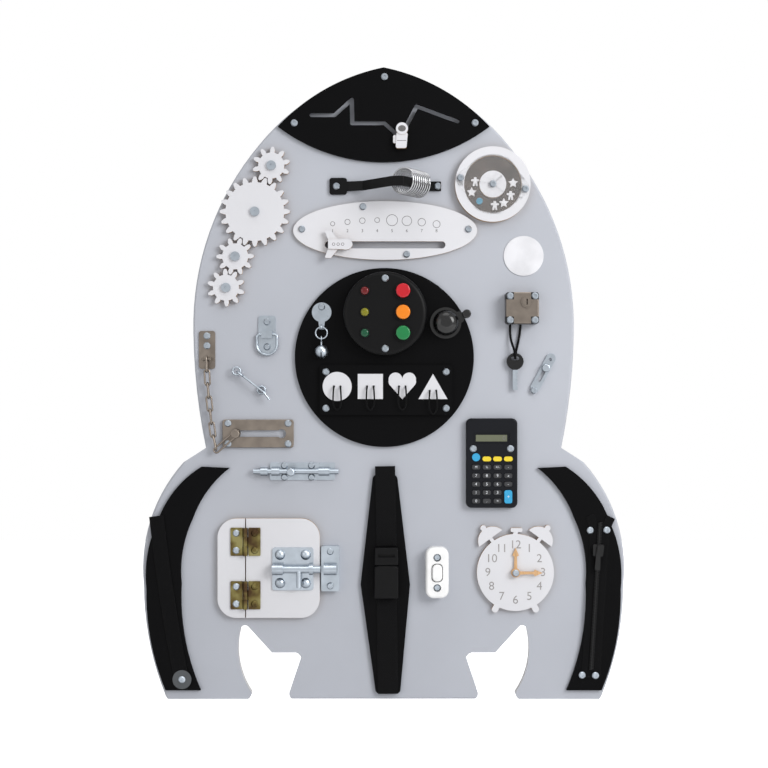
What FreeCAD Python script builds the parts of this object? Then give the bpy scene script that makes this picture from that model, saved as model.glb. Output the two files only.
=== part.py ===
import FreeCAD, Part
import math
import os
import re
from FreeCAD import Placement, Rotation, Vector

# A rocket-shaped busy board for the wall, in millimetres.
# The wall plane is Y = 0 and the board faces -Y, so a depth is a distance in front of the wall.
# X runs to the right, Z up, and the origin is the middle of the board's back.

DIMENSIONS = {
    # board, cut from one sheet of plywood
    "board_height": 700, "board_thick": 10, "board_edge_round": 2.5,
    "shoulder_half": 138.4, "shoulder_drop": 86.4, "waist_half": 211, "waist_drop": 293.5,
    "neck_half": 197, "neck_drop": 422, "fin_root_half": 222, "fin_root_drop": 438,
    "tail_half": 265.8, "tail_drop": 574, "foot_half": 242, "foot_inner_half": 150,
    "arch_half": 158.6, "arch_rise": 76.7, "step_inner_half": 97.4, "step_rise": 51.5, "skirt_half": 104.4,
    # black and white panels screwed on the board
    "panel_thick": 4, "nose_half": 117, "nose_drop": 66.5, "nose_belly": 39.3, "nose_inset": 1.2,
    "disc_radius": 98.9, "planet_half_width": 101.6, "planet_half_height": 32.5,
    "maze_slot": 4.8, "rail_slot": 7.8, "track_depth": 4, "track_margin": 3.2,
    "strap_panel_half": 27, "strap_panel_end_half": 13.3, "strap_panel_length": 242,
    # screws, all alike
    "screw_head_radius": 3.8, "screw_head_height": 2.2, "screw_shank_radius": 1.75, "screw_end": 2,
    "screw_socket_width": 3, "screw_socket_depth": 1.3, "screw_play": 0.05,
    # gear train
    "gear_module": 3.6, "gear_thick": 5, "gear_lift": 1, "gear_backlash": 0.7, "gear_addendum": 2.75,
    "gear_root_gap": 0.8, "gear_bore_radius": 3.1, "gear_play": 0.06, "gear_washer_radius": 7,
    # sliding figures
    "figure_thick": 4.6, "figure_gap": 2.8, "slide_play": 0.25, "track_foot_thick": 2.6,
    # bow handle and its spring
    "handle_bar_thick": 3, "handle_bar_width": 10.4, "handle_pad_width": 18.5, "handle_rise": 44,
    "spring_radius": 13.9, "spring_wire": 1.7, "spring_turns": 9, "spring_length": 40,
    # porthole
    "port_radius": 41.6, "port_window_radius": 31.7, "port_thick": 8, "port_hub_radius": 14.8,
    "port_glass_thick": 1.5, "port_back_thick": 0.8, "token_thick": 4, "token_gap": 0.6,
    # lamp
    "lamp_radius": 46, "lamp_height": 20, "lamp_round": 5, "lens_radius": 4.2, "lens_proud": 2.4,
    "button_radius": 7.8, "button_play": 0.15, "button_proud": 5, "button_travel": 3.2,
    "bezel_radius": 10, "bezel_height": 1.6,
    # bell
    "bell_radius": 14, "bell_height": 13, "bell_base_radius": 21.6, "bell_base_thick": 3,
    "bell_lever_thick": 3, "bell_post": 4.8, "bell_knob_radius": 4.8, "bell_knob_length": 9,
    # jingle charm
    "charm_washer_radius": 10.8, "charm_wire": 1.5, "charm_ring_radius": 6.4, "jingle_radius": 7.4,
    # shape sorter
    "sorter_width": 146.2, "sorter_height": 55.3, "sorter_thick": 4.5, "sorter_play": 0.5,
    "shape_thick": 5, "shape_disc_radius": 16, "shape_square_side": 27.7, "shape_heart_size": 30,
    "shape_triangle_side": 32, "shape_hole_radius": 1.3, "loop_wire": 1.8, "loop_drop": 27,
    # steel fittings
    "sheet_thick": 1.5, "anchor_width": 18, "anchor_length": 42, "chain_wire": 2.1, "chain_pitch": 14.4,
    "chain_width": 7.6, "chain_lift": 7.7, "rail_plate_width": 78.8,
    "rail_plate_height": 31.1, "rail_plate_thick": 4, "rail_plate_slot": 7.3, "rail_key_radius": 5,
    "ring_plate_width": 19.2, "ring_plate_length": 41.6, "ring_wire": 2.7, "ring_width": 25.1,
    "ring_drop": 25, "hook_wire": 2.2, "eye_radius": 4.2, "eye_stem_radius": 0.95, "bolt_rod_radius": 3, 
    "bolt_guide_wall": 1.6, "bolt_play": 0.1, "latch_bar_length": 47, "latch_bar_width": 10.5, "latch_slot": 4, "latch_knob_radius": 4.4,
    # door
    "door_width": 112.8, "door_height": 109.7, "door_thick": 6, "door_corner": 21, "door_strip_width": 30.3,
    "door_gap": 1.2, "hinge_width": 33, "hinge_height": 31, "hinge_knuckle_radius": 2.6,
    "hinge_pin_radius": 1.3, "hinge_play": 0.06, "hinge_knuckle_gap": 0.3, "door_bolt_radius": 4.2,
    "door_bolt_wall": 1.9, "door_bolt_plate_width": 45.3, "door_bolt_plate_height": 47.2,
    "door_bolt_gap": 0.6, "keeper_width": 20, "keeper_height": 50,
    # switch, clock, calculator, lock
    "switch_width": 25.5, "switch_height": 56.5, "switch_thick": 14, "rocker_width": 11,
    "rocker_height": 18.8, "rocker_play": 0.8, "clock_radius": 42.5, "clock_thick": 5,
    "hand_thick": 2, "hand_gap": 0.4, "calculator_width": 56.6, "calculator_height": 98.7,
    "calculator_thick": 8, "key_width": 8.6, "key_height": 5.2, "key_proud": 1.4,
    "key_play": 0.3, "lock_width": 36.3, "lock_height": 34.9, "lock_thick": 16, "plug_radius": 5,
    "cord_diameter": 2.6, "key_bow_radius": 9.3, "key_thick": 2.4, "key_blade_length": 22,
    # fins and straps
    "velcro_width": 16, "velcro_thick": 2.2, "zip_width": 20, "tape_thick": 0.8, "zip_teeth_width": 5.5,
    "zip_teeth_thick": 2, "webbing_width": 22.2, "webbing_thick": 1.8, "buckle_width": 26.2,
    "buckle_height": 56, "buckle_thick": 9,
    # keyhole hangers let into the back
    "hanger_width": 18, "hanger_length": 46, "hanger_thick": 2, "hanger_head_radius": 4.5,
    "hanger_neck_radius": 2.3, "hanger_well": 4,
}

# Where each piece sits on the board: X and Z of its middle, or of the point that names it.
PLACES = {
    "nose_top_screw": (1, 338.3), "nose_left_screw": (-98.7, 287.3), "nose_right_screw": (101, 287.3),
    "maze_a": (-79.5, 296.3), "maze_b": (-54.1, 296.3), "maze_c": (-35.2, 313.4), "maze_d": (-34.6, 287.3),
    "maze_e": (1, 287.3), "maze_f": (18.2, 271.4), "maze_g": (36.6, 306), "maze_h": (81.5, 289.3),
    "big_gear": (-142.1, 189.2), "planet": (1.7, 168.5), "rail": (1.7, 152.6), "rail_start": (-50, 152.6),
    "handle_pad": (-50.2, 217.6), "handle_foot": (52, 217.6), "port": (120.4, 219.3),
    "disc": (0.8, 28.2), "lamp": (1.8, 76), "bell": (68.4, 66.2), "bell_knob": (91.2, 75.9),
    "charm": (-68.4, 78.1), "charm_ring": (-68.4, 55), "jingle": (-68.4, 34.6), "sorter": (2.7, -7.7),
    "sort_disc": (-51.1, -3.8), "sort_square": (-14.6, -3.8), "sort_heart": (20.6, -3.8),
    "sort_triangle": (54.4, -8.5), "anchor": (-195.4, 36.6), "chain_end": (-163.5, -55.7),
    "rail_plate": (-138.8, -55.9), "ring_plate": (-129, 53.6), "hook_eye": (-162.2, 13.2),
    "hook_catch": (-135.1, -7.8), "tower_bolt": (-89.8, -97.7), "door": (-126.8, -204.3),
    "door_bolt": (-100, -204.9), "keeper": (-58.8, -204.6), "door_switch": (58.9, -208.6),
    "clock": (145.6, -209.2), "calculator": (119.3, -88.4), "lock": (152.3, 82.3), "lock_plug": (157.2, 89),
    "key_bow": (145.2, 23.8), "latch": (176.4, 11.3), "zip_top": (239.2, -153.2), "zip_end": (229.2, -316.7),
    "zip_slider": (236.6, -184), "velcro_top": (-251, -147), "velcro_end": (-222.5, -327.2),
    "strap_top": (1.6, -97.5), "strap_end": (4.9, -344.5), "buckle": (3.2, -208.7),
    "hanger_left": (-90, 120), "hanger_right": (90, 120),
}

doc = FreeCAD.newDocument("busy_board")
sheet = doc.addObject("Spreadsheet::Sheet", "sizes")


def fill_sheet():
    """Put every driving dimension and place in the sheet, each under its own alias."""
    rows = dict(DIMENSIONS)
    for name, (across, up) in PLACES.items():
        rows[name + "_x"] = across
        rows[name + "_z"] = up
    for row, (alias, number) in enumerate(rows.items(), start=1):
        sheet.set("A%d" % row, alias)
        sheet.set("B%d" % row, str(number))
        sheet.setAlias("B%d" % row, alias)
    doc.recompute()
    return rows


ALIASES = fill_sheet()
NODES = []


def size(name):
    """A driving dimension, read from the sheet."""
    return float(sheet.get(name))


def place(name):
    """The X and Z of a named place."""
    return size(name + "_x"), size(name + "_z")


def bound(text):
    """The text of an expression in which every alias points to the sheet."""
    return re.sub(r"[a-z_]\w*", lambda word: "sizes." + word.group() if word.group() in ALIASES else word.group(), text)


def worth(text):
    """The value of a sum of aliases and plain numbers, such as board_thick + panel_thick."""
    total = 0.0
    for sign, word in re.findall(r"([+-]?)\s*([a-z_]\w*|[\d.]+)", text):
        number = size(word) if word in ALIASES else float(word)
        total += -number if sign == "-" else number
    return total


BOARD_FACE = "board_thick"
PANEL_FACE = "board_thick + panel_thick"


# Outlines: lists of sketch geometry

def trace(start, steps):
    """Edges from start along steps: (x, z) is a straight run, (x, z, rise) an arc bulging left by rise."""
    edges = []
    here = Vector(start[0], start[1], 0)
    for step in steps:
        there = Vector(step[0], step[1], 0)
        if len(step) == 3:
            chord = there - here
            left = Vector(-chord.y, chord.x, 0).normalize()
            edges.append(Part.Arc(here, (here + there) * 0.5 + left * step[2], there))
        else:
            edges.append(Part.LineSegment(here, there))
        here = there
    return edges


def both_sides(start, steps, middle=0.0):
    """The trace of steps on the right of the line x = middle and its mirror image on the left."""
    def flip(step):
        return (2 * middle - step[0], step[1]) + tuple(-rise for rise in step[2:])
    return trace(start, steps) + trace(flip(start), [flip(step) for step in steps])


def polygon(points):
    return trace(points[-1], points)


def rounded(points, radius):
    """A polygon whose corners are all rounded to one radius."""
    corners = [Vector(x, z, 0) for x, z in points]
    arcs = []
    for index, corner in enumerate(corners):
        back = (corners[index - 1] - corner).normalize()
        ahead = (corners[(index + 1) % len(corners)] - corner).normalize()
        half = back.getAngle(ahead) / 2
        reach = radius / math.tan(half)
        inward = (back + ahead).normalize()
        nearest = corner + inward * (radius / math.sin(half) - radius)
        arcs.append((corner + back * reach, nearest, corner + ahead * reach))
    edges = []
    for index, (enter, nearest, leave) in enumerate(arcs):
        edges.append(Part.LineSegment(arcs[index - 1][2], enter))
        edges.append(Part.Arc(enter, nearest, leave))
    return edges


def oblong(middle, width, height, radius=0.0):
    """A rectangle about its middle, with rounded corners if a radius is given."""
    x, z = middle
    w, h = width / 2, height / 2
    points = [(x - w, z - h), (x + w, z - h), (x + w, z + h), (x - w, z + h)]
    return rounded(points, radius) if radius else polygon(points)


def circle(middle, radius):
    return [Part.Circle(Vector(middle[0], middle[1], 0), Vector(0, 0, 1), radius)]


def circles(middles, radius):
    return [ring for middle in middles for ring in circle(middle, radius)]


def band(start, end, width):
    """A straight slot with round ends, between the middles of its ends."""
    run = Vector(end[0] - start[0], end[1] - start[1], 0).normalize()
    side = Vector(-run.y, run.x, 0) * (width / 2)
    corners = [(x + sign * side.x, z + sign * side.y) for (x, z), sign in ((start, -1), (end, -1), (end, 1), (start, 1))]
    return trace(corners[0], [corners[1], corners[2] + (-width / 2,), corners[3], corners[0] + (-width / 2,)])


def along(points, width):
    """The closed outline, with round ends and corners, of a band of one width along a bent line."""
    line = Part.makePolygon([Vector(x, z, 0) for x, z in points])
    edges = []
    for edge in line.makeOffset2D(width / 2, 0, False, False, False).Edges:
        first, last = edge.FirstParameter, edge.LastParameter
        ends = edge.valueAt(first), edge.valueAt((first + last) / 2), edge.valueAt(last)
        straight = isinstance(edge.Curve, Part.Line)
        edges.append(Part.LineSegment(ends[0], ends[2]) if straight else Part.Arc(*ends))
    return edges


# Features

def new_body(label):
    body = doc.addObject("PartDesign::Body", label)
    NODES.append(body)
    return body


def sketch(body, plane, height, outline):
    """A sketch on one of the body's origin planes, raised by an expression of the sheet."""
    drawn = body.newObject("Sketcher::SketchObject", body.Name + "_sketch")
    support = [item for item in body.Origin.OriginFeatures if item.Role == plane][0]
    drawn.AttachmentSupport = (support, [""])
    drawn.MapMode = "FlatFace"
    drawn.setExpression("AttachmentOffset.Base.z", bound(height))
    drawn.addGeometry(outline, False)
    return drawn


def pad(body, height, length, outline, plane="XZ_Plane"):
    """Material from a height, towards the front on the XZ plane, along the axis on the other two."""
    feature = body.newObject("PartDesign::Pad", body.Name + "_pad")
    feature.Profile = sketch(body, plane, height, outline)
    feature.setExpression("Length", bound(length))
    body.Tip = feature
    return feature


def pocket(body, height, length, outline, plane="XZ_Plane"):
    """A recess that starts at a height and runs back from it, against the plane's normal."""
    feature = body.newObject("PartDesign::Pocket", body.Name + "_pocket")
    feature.Profile = sketch(body, plane, height, outline)
    feature.setExpression("Length", bound(length))
    body.Tip = feature
    return feature


def revolve(body, outline, base, label="turned"):
    """A turned shape: an outline of (radius, depth) points about an axis along Y through base."""
    profile = body.newObject("Sketcher::SketchObject", body.Name + "_" + label)
    support = [item for item in body.Origin.OriginFeatures if item.Role == "XY_Plane"][0]
    profile.AttachmentSupport = (support, [""])
    profile.MapMode = "FlatFace"
    profile.AttachmentOffset = Placement(Vector(base[0], 0, base[1]), Rotation())
    profile.addGeometry(outline, False)
    feature = body.newObject("PartDesign::Revolution", body.Name + "_revolution")
    feature.Profile = profile
    feature.ReferenceAxis = (profile, ["V_Axis"])
    feature.Angle = 360
    body.Tip = feature
    return feature


def edges_at(shape, height, least=0.0):
    """Names of the shape's edges that lie wholly at one depth in front of the wall."""
    names = []
    for number, edge in enumerate(shape.Edges, start=1):
        box = edge.BoundBox
        level = abs(box.YMin + height) < 0.001 and abs(box.YMax + height) < 0.001
        if level and edge.Length > least:
            names.append("Edge%d" % number)
    return names


def round_front(body, height, radius, least=0.0):
    """Round the edges of the front face at one depth."""
    doc.recompute()
    base = body.Tip
    feature = body.newObject("PartDesign::Fillet", body.Name + "_fillet")
    feature.Base = (base, edges_at(base.Shape, worth(height), least))
    feature.setExpression("Radius", bound(radius))
    body.Tip = feature
    return feature


def plate(label, outline, back, thick, holes=()):
    """A flat piece, with the outlines in holes cut through it."""
    body = new_body(label)
    pad(body, back, thick, outline)
    if holes:
        pocket(body, back + " + " + thick, thick, holes)
    return body


def shaped(label, shape):
    """A piece whose shape is worked out below from the sheet's sizes."""
    piece = doc.addObject("Part::Feature", label)
    piece.Shape = shape
    NODES.append(piece)
    return piece


def at(x, depth, z):
    """The point at X, Z and a depth in front of the wall."""
    return Vector(x, -depth, z)


def pin(base, depth, radius, length):
    """A round pin along Y that starts at a depth and runs towards the front."""
    return Part.makeCylinder(radius, length, at(base[0], depth, base[1]), Vector(0, -1, 0))


def wire_along(points, bend):
    """A line of straight runs joined by tangent arcs of one radius."""
    edges = []
    here = points[0]
    for index in range(1, len(points) - 1):
        corner = points[index]
        back = (points[index - 1] - corner).normalize()
        ahead = (points[index + 1] - corner).normalize()
        half = back.getAngle(ahead) / 2
        reach = bend / math.tan(half)
        nearest = corner + (back + ahead).normalize() * (bend / math.sin(half) - bend)
        edges.append(Part.LineSegment(here, corner + back * reach).toShape())
        edges.append(Part.Arc(corner + back * reach, nearest, corner + ahead * reach).toShape())
        here = corner + ahead * reach
    edges.append(Part.LineSegment(here, points[-1]).toShape())
    return Part.Wire(edges)


def tube(path, diameter):
    """A round wire of one diameter along a path."""
    start = path.Edges[0]
    direction = start.tangentAt(start.FirstParameter)
    section = Part.Wire(Part.makeCircle(diameter / 2, start.valueAt(start.FirstParameter), direction))
    return path.makePipeShell([section], True, False)


# Screws: one pattern, set wherever a piece is fixed, with holes to match

def screw(seat_x, seat_z, seat):
    """A button-head screw whose head sits at the depth seat and whose shank ends inside the board."""
    head = pin((seat_x, seat_z), seat, size("screw_head_radius"), size("screw_head_height"))
    shank = pin((seat_x, seat_z), size("screw_end"), size("screw_shank_radius"), seat - size("screw_end"))
    corner = size("screw_socket_width") / math.sqrt(3)
    top = seat + size("screw_head_height")
    turns = [math.radians(60 * side) for side in range(7)]
    hexagon = Part.makePolygon([at(seat_x + corner * math.cos(turn), top, seat_z + corner * math.sin(turn))
                                for turn in turns])
    socket = Part.Face(hexagon).extrude(Vector(0, size("screw_socket_depth"), 0))
    bevel = size("screw_head_height") / 2
    rim = [edge for edge in head.Edges if abs(edge.BoundBox.YMin + top) < 0.001 and edge.Length > 2 * bevel]
    return head.makeChamfer(bevel, rim[:1]).fuse(shank).removeSplitter().cut(socket)


def screw_holes(middles):
    return circles(middles, size("screw_shank_radius") + size("screw_play"))


HINGE_LEVELS = (-175.1, -234)
NOSE_SCREWS = [place("nose_top_screw"), place("nose_left_screw"), place("nose_right_screw")]


def around(name, offsets):
    """Places given as offsets from the middle of a named piece."""
    x, z = place(name)
    return [(x + across, z + up) for across, up in offsets]


def corners(name, half_width, half_height):
    return around(name, [(s * half_width, t * half_height) for s in (-1, 1) for t in (-1, 1)])


PLANET_SCREWS = around("planet", [(-92, 1.5), (92, 1.5), (-24.5, 26.3), (23.8, -26.3)])
PORT_SCREWS = around("port", [(-35.8, 6.6), (35.8, -5.6)])
SORTER_SCREWS = corners("sorter", 66.2, 20.1)
LAMP_SCREWS = around("lamp", [(0, 38.4), (0, -38.4)])
ANCHOR_SCREWS = around("anchor", [(0, 15.5), (0, 4.6)])
RAIL_PLATE_SCREWS = corners("rail_plate", 33.2, 11.3)
RING_PLATE_SCREWS = around("ring_plate", [(0, 14), (0, -13.6)])
LOCK_SCREWS = corners("lock", 13.6, 13.2)
LATCH_SCREWS = around("latch", [(-10.3, -19.4)])
BOLT_BASE_SCREWS = around("tower_bolt", [(across, side * 6.4) for across in (-20, 10) for side in (-1, 1)])
KEEPER_SCREWS = around("keeper", [(0, 19), (0, -19)])
SWITCH_SCREWS = around("door_switch", [(0, 16.6), (0, -16.6)])
CALCULATOR_SCREWS = around("calculator", [(-20.5, 16), (20.5, 16)])
ZIP_SCREWS = [(228.2, -162.7), (246.4, -162.4), (219.2, -322.5), (233.9, -322.9)]
HANDLE_SCREWS = [(place("handle_pad")[0] - 2, place("handle_pad")[1])]
VELCRO_SCREWS = [place("velcro_end")]
CHARM_SCREWS = around("charm", [(0, 5.8)])
FIXED_SCREWS = []


# Board and panels

def half_outline():
    """Right half of the board from the nose down: ogive, waist, fin, foot, and the arch between the feet."""
    top = size("board_height") / 2
    foot = -top
    neck = top - size("neck_drop")
    arch, step, skirt = size("arch_half"), size("step_inner_half"), size("skirt_half")
    return [
        (size("shoulder_half"), top - size("shoulder_drop"), 13.7),
        (size("waist_half"), top - size("waist_drop"), 19.9),
        (size("neck_half"), neck, 3.1),
        (size("fin_root_half"), top - size("fin_root_drop")),
        (size("tail_half"), top - size("tail_drop"), 15.2),
        (size("foot_half"), foot + 4, 6),
        (size("foot_half") - 3, foot),
        (size("foot_inner_half"), foot),
        (size("foot_inner_half") - 4, foot + 7, 1),
        (arch, foot + size("arch_rise"), -7.5),
        (arch - 8.6, foot + size("arch_rise") + 3.6, -3),
        (step + 26.3, foot + size("step_rise")),
        (step, foot + size("step_rise")),
        (step - 6.1, foot + size("step_rise") - 5.4, -1),
        (skirt, foot + 7),
        (skirt - 2.9, foot, 1),
        (0, foot),
    ]


def maze_points():
    return [place("maze_" + letter) for letter in "abcdefgh"]


def rail_points():
    x, z = place("rail")
    reach = 66.6 - size("rail_slot") / 2
    return (x - reach, z), (x + reach, z)


def make_board():
    body = new_body("board")
    top = size("board_height") / 2
    pad(body, "0", BOARD_FACE, both_sides((0, top), half_outline()))
    round_front(body, BOARD_FACE, "board_edge_round", 100)
    maze_track = along(maze_points(), size("maze_slot") + 2 * size("track_margin"))
    rail_track = band(*rail_points(), size("rail_slot") + 2 * size("track_margin"))
    pocket(body, BOARD_FACE, "track_depth", maze_track + rail_track)
    holes = [(x, z) for x, z, seat in FIXED_SCREWS]
    pocket(body, BOARD_FACE, "board_thick - screw_end + 0.2", screw_holes(holes))
    axles = [middle for _, _, middle, _ in gear_train()]
    pocket(body, BOARD_FACE, "board_thick - screw_end + 0.2",
           circles(axles, size("gear_bore_radius") + size("screw_play")))
    wells, plates = [], []
    for name in ("hanger_left", "hanger_right"):
        x, z = place(name)
        plates += oblong((x, z), size("hanger_width") + 0.2, size("hanger_length") + 0.2, size("hanger_width") / 2)
        wells += band((x, z - 10), (x, z + 9), 2 * size("hanger_head_radius") + 2)
    pocket(body, "hanger_thick", "hanger_thick", plates)
    pocket(body, "hanger_thick + hanger_well", "hanger_thick + hanger_well", wells)


def make_hangers():
    """Keyhole plates let into the back: a round entry below a narrow slot, and two screws each."""
    body = new_body("wall_hangers")
    outline, keyholes = [], []
    for name in ("hanger_left", "hanger_right"):
        x, z = place(name)
        outline += oblong((x, z), size("hanger_width"), size("hanger_length"), size("hanger_width") / 2 - 0.1)
        head, neck = size("hanger_head_radius"), size("hanger_neck_radius")
        fork = math.sqrt(head ** 2 - neck ** 2)
        keyholes += trace((x + neck, z - 8 + fork), [
            (x + neck, z + 8), (x - neck, z + 8, neck), (x - neck, z - 8 + fork),
            (x + neck, z - 8 + fork, head + fork)])
    pad(body, "0", "hanger_thick", outline)
    pocket(body, "hanger_thick", "hanger_thick", keyholes)


def make_nose_panel():
    """Cap panel with the crooked slot that the figure slides in."""
    top = size("board_height") / 2 - size("nose_inset")
    half, low = size("nose_half"), size("board_height") / 2 - size("nose_drop")
    outline = both_sides((0, top), [(half, low, 10.5)])
    outline += trace((half, low), [(-half, low, size("nose_belly"))])
    holes = along(maze_points(), size("maze_slot")) + screw_holes(NOSE_SCREWS)
    plate("nose_panel", outline, BOARD_FACE, "panel_thick", holes)


def make_planet_panel():
    x, z = place("planet")
    ellipse = Part.Ellipse(Vector(x, z, 0), size("planet_half_width"), size("planet_half_height"))
    holes = band(*rail_points(), size("rail_slot")) + screw_holes(PLANET_SCREWS)
    plate("planet_panel", [ellipse], BOARD_FACE, "panel_thick", holes)


def make_disc_panel():
    holes = LAMP_SCREWS + SORTER_SCREWS + CHARM_SCREWS
    plate("disc_panel", circle(place("disc"), size("disc_radius")), BOARD_FACE, "panel_thick", screw_holes(holes))


def make_fin_panel(label, side):
    """Curved black panel of one tail fin: side is -1 on the left and 1 on the right."""
    start = (side * 170.3, -94)
    steps = [(side * 201.5, -92.5), (side * 250.6, -155, 7 * side), (side * 262, -228, 5 * side),
             (side * 241, -339.6, 6 * side), (side * 202.2, -339.6), (side * 223.4, -222, -7 * side),
             (side * 211, -150, -5 * side), start + (-5 * side,)]
    holes = VELCRO_SCREWS if side < 0 else ZIP_SCREWS
    plate(label, trace(start, [tuple(step) for step in steps]), BOARD_FACE, "panel_thick", screw_holes(holes))


def make_strap_panel():
    """Long six-sided panel under the buckle strap, widest in the middle."""
    x, top = place("strap_top")
    low = place("strap_end")[0]
    end, wide, length = size("strap_panel_end_half"), size("strap_panel_half"), size("strap_panel_length")
    top -= 4
    outline = [(low - end, top - length), (low + end, top - length), (x + wide + 0.6, top - length / 2),
               (x + end, top), (x - end, top), (x - wide, top - length / 2)]
    plate("strap_panel", rounded(outline, 5), BOARD_FACE, "panel_thick")


# Gear train

def involute(angle):
    return math.tan(angle) - angle


def gear_outline(middle, teeth, phase):
    """Tooth outline: straight root, then three points up an involute flank, a flat tip and back down."""
    pitch = size("gear_module") * teeth / 2
    tip = pitch + size("gear_addendum")
    root = pitch - size("gear_addendum") - size("gear_root_gap")
    pressure = math.radians(25)
    base = pitch * math.cos(pressure)
    half = (math.pi * size("gear_module") / 2 - size("gear_backlash")) / 2 / pitch
    points = []
    for tooth in range(teeth):
        centre = phase + 2 * math.pi * tooth / teeth
        flank = []
        for radius in (root, (max(root, base) + pitch) / 2, (pitch + tip) / 2, tip):
            lean = math.acos(min(1, base / max(radius, base)))
            flank.append((radius, half + involute(pressure) - involute(lean)))
        for radius, spread in flank:
            points.append((radius, centre - spread))
        for radius, spread in reversed(flank):
            points.append((radius, centre + spread))
    x, z = middle
    return polygon([(x + radius * math.cos(turn), z + radius * math.sin(turn)) for radius, turn in points])


def gear_train():
    """Name, teeth, middle and tooth phase of each gear; each small gear is set by the one that it meshes with."""
    big, small = 20, 10
    far = size("gear_module") * (big + small) / 2
    near = size("gear_module") * small
    train = [("big_gear", big, place("big_gear"), 0.0)]
    for name, parent, reach, bearing in (("upper_gear", 0, far, 70.4), ("middle_gear", 0, far, 246.3),
                                         ("lower_gear", 2, near, 253.6)):
        _, teeth, (x, z), phase = train[parent]
        turn = math.radians(bearing)
        middle = (x + reach * math.cos(turn), z + reach * math.sin(turn))
        meshed = turn + math.pi - (math.pi - teeth * (turn - phase)) / small
        train.append((name, small, middle, meshed))
    return train


def make_gears():
    bore = size("gear_bore_radius") + size("gear_play")
    for name, teeth, middle, phase in gear_train():
        plate(name, gear_outline(middle, teeth, phase), BOARD_FACE + " + gear_lift", "gear_thick", circle(middle, bore))
    washers = new_body("gear_axles")
    middles = [middle for _, _, middle, _ in gear_train()]
    pad(washers, BOARD_FACE, "gear_lift - 0.1", circles(middles, size("gear_washer_radius")))
    pad(washers, "screw_end", "board_thick + gear_lift + gear_thick + 0.3 - screw_end",
        circles(middles, size("gear_bore_radius")))
    seat = "board_thick + gear_lift + gear_thick + 0.3"
    pad(washers, seat, "screw_head_height", circles(middles, size("screw_head_radius") + 1.4))
    pocket(washers, seat + " + screw_head_height", "screw_socket_depth",
           [edge for x, z in middles for edge in polygon(hexagon_at(x, z))])


def hexagon_at(x, z):
    corner = size("screw_socket_width") / math.sqrt(3)
    turns = [math.radians(60 * side) for side in range(6)]
    return [(x + corner * math.cos(turn), z + corner * math.sin(turn)) for turn in turns]


# Sliding figures

def make_slider(label, middle, slot, outlines):
    """A figure with a pin through the slot and a foot that runs in the track behind the panel."""
    body = new_body(label)
    pin_radius = worth(slot) / 2 - size("slide_play")
    back = BOARD_FACE + " - track_depth + 0.4"
    pad(body, back, "track_foot_thick", circle(middle, pin_radius + size("track_margin") - 0.5))
    pad(body, back, "track_depth - 0.4 + panel_thick + figure_gap", circle(middle, pin_radius))
    for outline, extra in outlines:
        pad(body, PANEL_FACE + " + figure_gap", "figure_thick + " + extra, outline)
    return body


def make_figures():
    x, z = place("maze_f")
    suit = rounded([(x - 5, z - 13), (x + 7, z - 13), (x + 8.5, z + 4), (x - 4, z + 5)], 2.4)
    helmet = circle((x + 2, z + 8.5), 6.6)
    pack = oblong((x - 5.2, z - 3), 5, 9, 1.5)
    make_slider("figure_slider", (x, z), "maze_slot", [(suit, "0"), (helmet, "0.8"), (pack, "-1.2")])
    x, z = place("rail_start")
    hull = trace((x - 11, z - 5), [(x + 6, z - 5.6), (x + 16, z, -2.6), (x + 6, z + 5.6, -2.6), (x - 11, z + 5),
                                   (x - 11, z - 5)])
    wings = rounded([(x - 15, z - 15), (x - 8, z - 15), (x + 4, z), (x - 8, z + 15), (x - 15, z + 15), (x - 9, z)], 1.2)
    make_slider("ship_slider", (x, z), "rail_slot", [(hull, "0.8"), (wings, "-1")])


# Bow handle with a loose spring round its return leg

def handle_line():
    """Middle line of the bar in X and Y: pad, rise, top bend, return leg and foot."""
    start, end = place("handle_pad")[0], place("handle_foot")[0]
    low = -(size("board_thick") + size("handle_bar_thick") / 2)
    high = low - size("handle_rise")
    return [(start - 8, low), (start + 12, low), (start + 28, low - 6), (end - 42, high), (end - 31, high),
            (end - 4, low), (end + 10, low)]


def make_handle():
    body = new_body("bow_handle")
    x, z = place("handle_pad")
    half = size("handle_bar_width") / 2
    pad(body, "handle_pad_z - %g" % half, "handle_bar_width", along(handle_line(), size("handle_bar_thick")),
        "XY_Plane")
    pad(body, BOARD_FACE, "handle_bar_thick", oblong((x, z), 19.3, size("handle_pad_width"), 3))
    pocket(body, BOARD_FACE + " + handle_bar_thick", "handle_bar_thick", screw_holes(HANDLE_SCREWS))
    foot_x = place("handle_foot")[0] + 8
    pocket(body, BOARD_FACE + " + handle_bar_thick", "handle_bar_thick", screw_holes([(foot_x, z)]))


def spring_axis():
    """Base point and direction of the spring, up the return leg from the board."""
    points = handle_line()
    foot, crest = Vector(*points[5], 0), Vector(*points[4], 0)
    direction = (crest - foot).normalize()
    height = place("handle_pad")[1]
    return foot + direction * 14 + Vector(0, 0, height), direction


def make_spring():
    """One unbroken coil of quarter-turn arcs, closer than touching nowhere."""
    radius, turns = size("spring_radius"), int(size("spring_turns"))
    step = size("spring_length") / turns / 4

    def coil_point(quarter):
        angle = quarter * math.pi / 2
        return Vector(radius * math.cos(angle), radius * math.sin(angle), step * quarter)

    edges = []
    for quarter in range(4 * turns):
        start, middle, end = (coil_point(quarter + part) for part in (0, 0.5, 1))
        edges.append(Part.Arc(start, middle, end).toShape())
    path = Part.Wire(edges)
    gap = min((coil_point(first / 6) - coil_point(second / 6)).Length
              for first in range(0, 72) for second in range(first + 18, 110)) - size("spring_wire")
    print("spring_coil: least gap to itself %.2f mm" % gap)
    coil = tube(path, size("spring_wire"))
    base, direction = spring_axis()
    piece = shaped("handle_spring", coil)
    piece.Placement = Placement(base, Rotation(Vector(0, 0, 1), direction))


# Porthole with loose tokens

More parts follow.
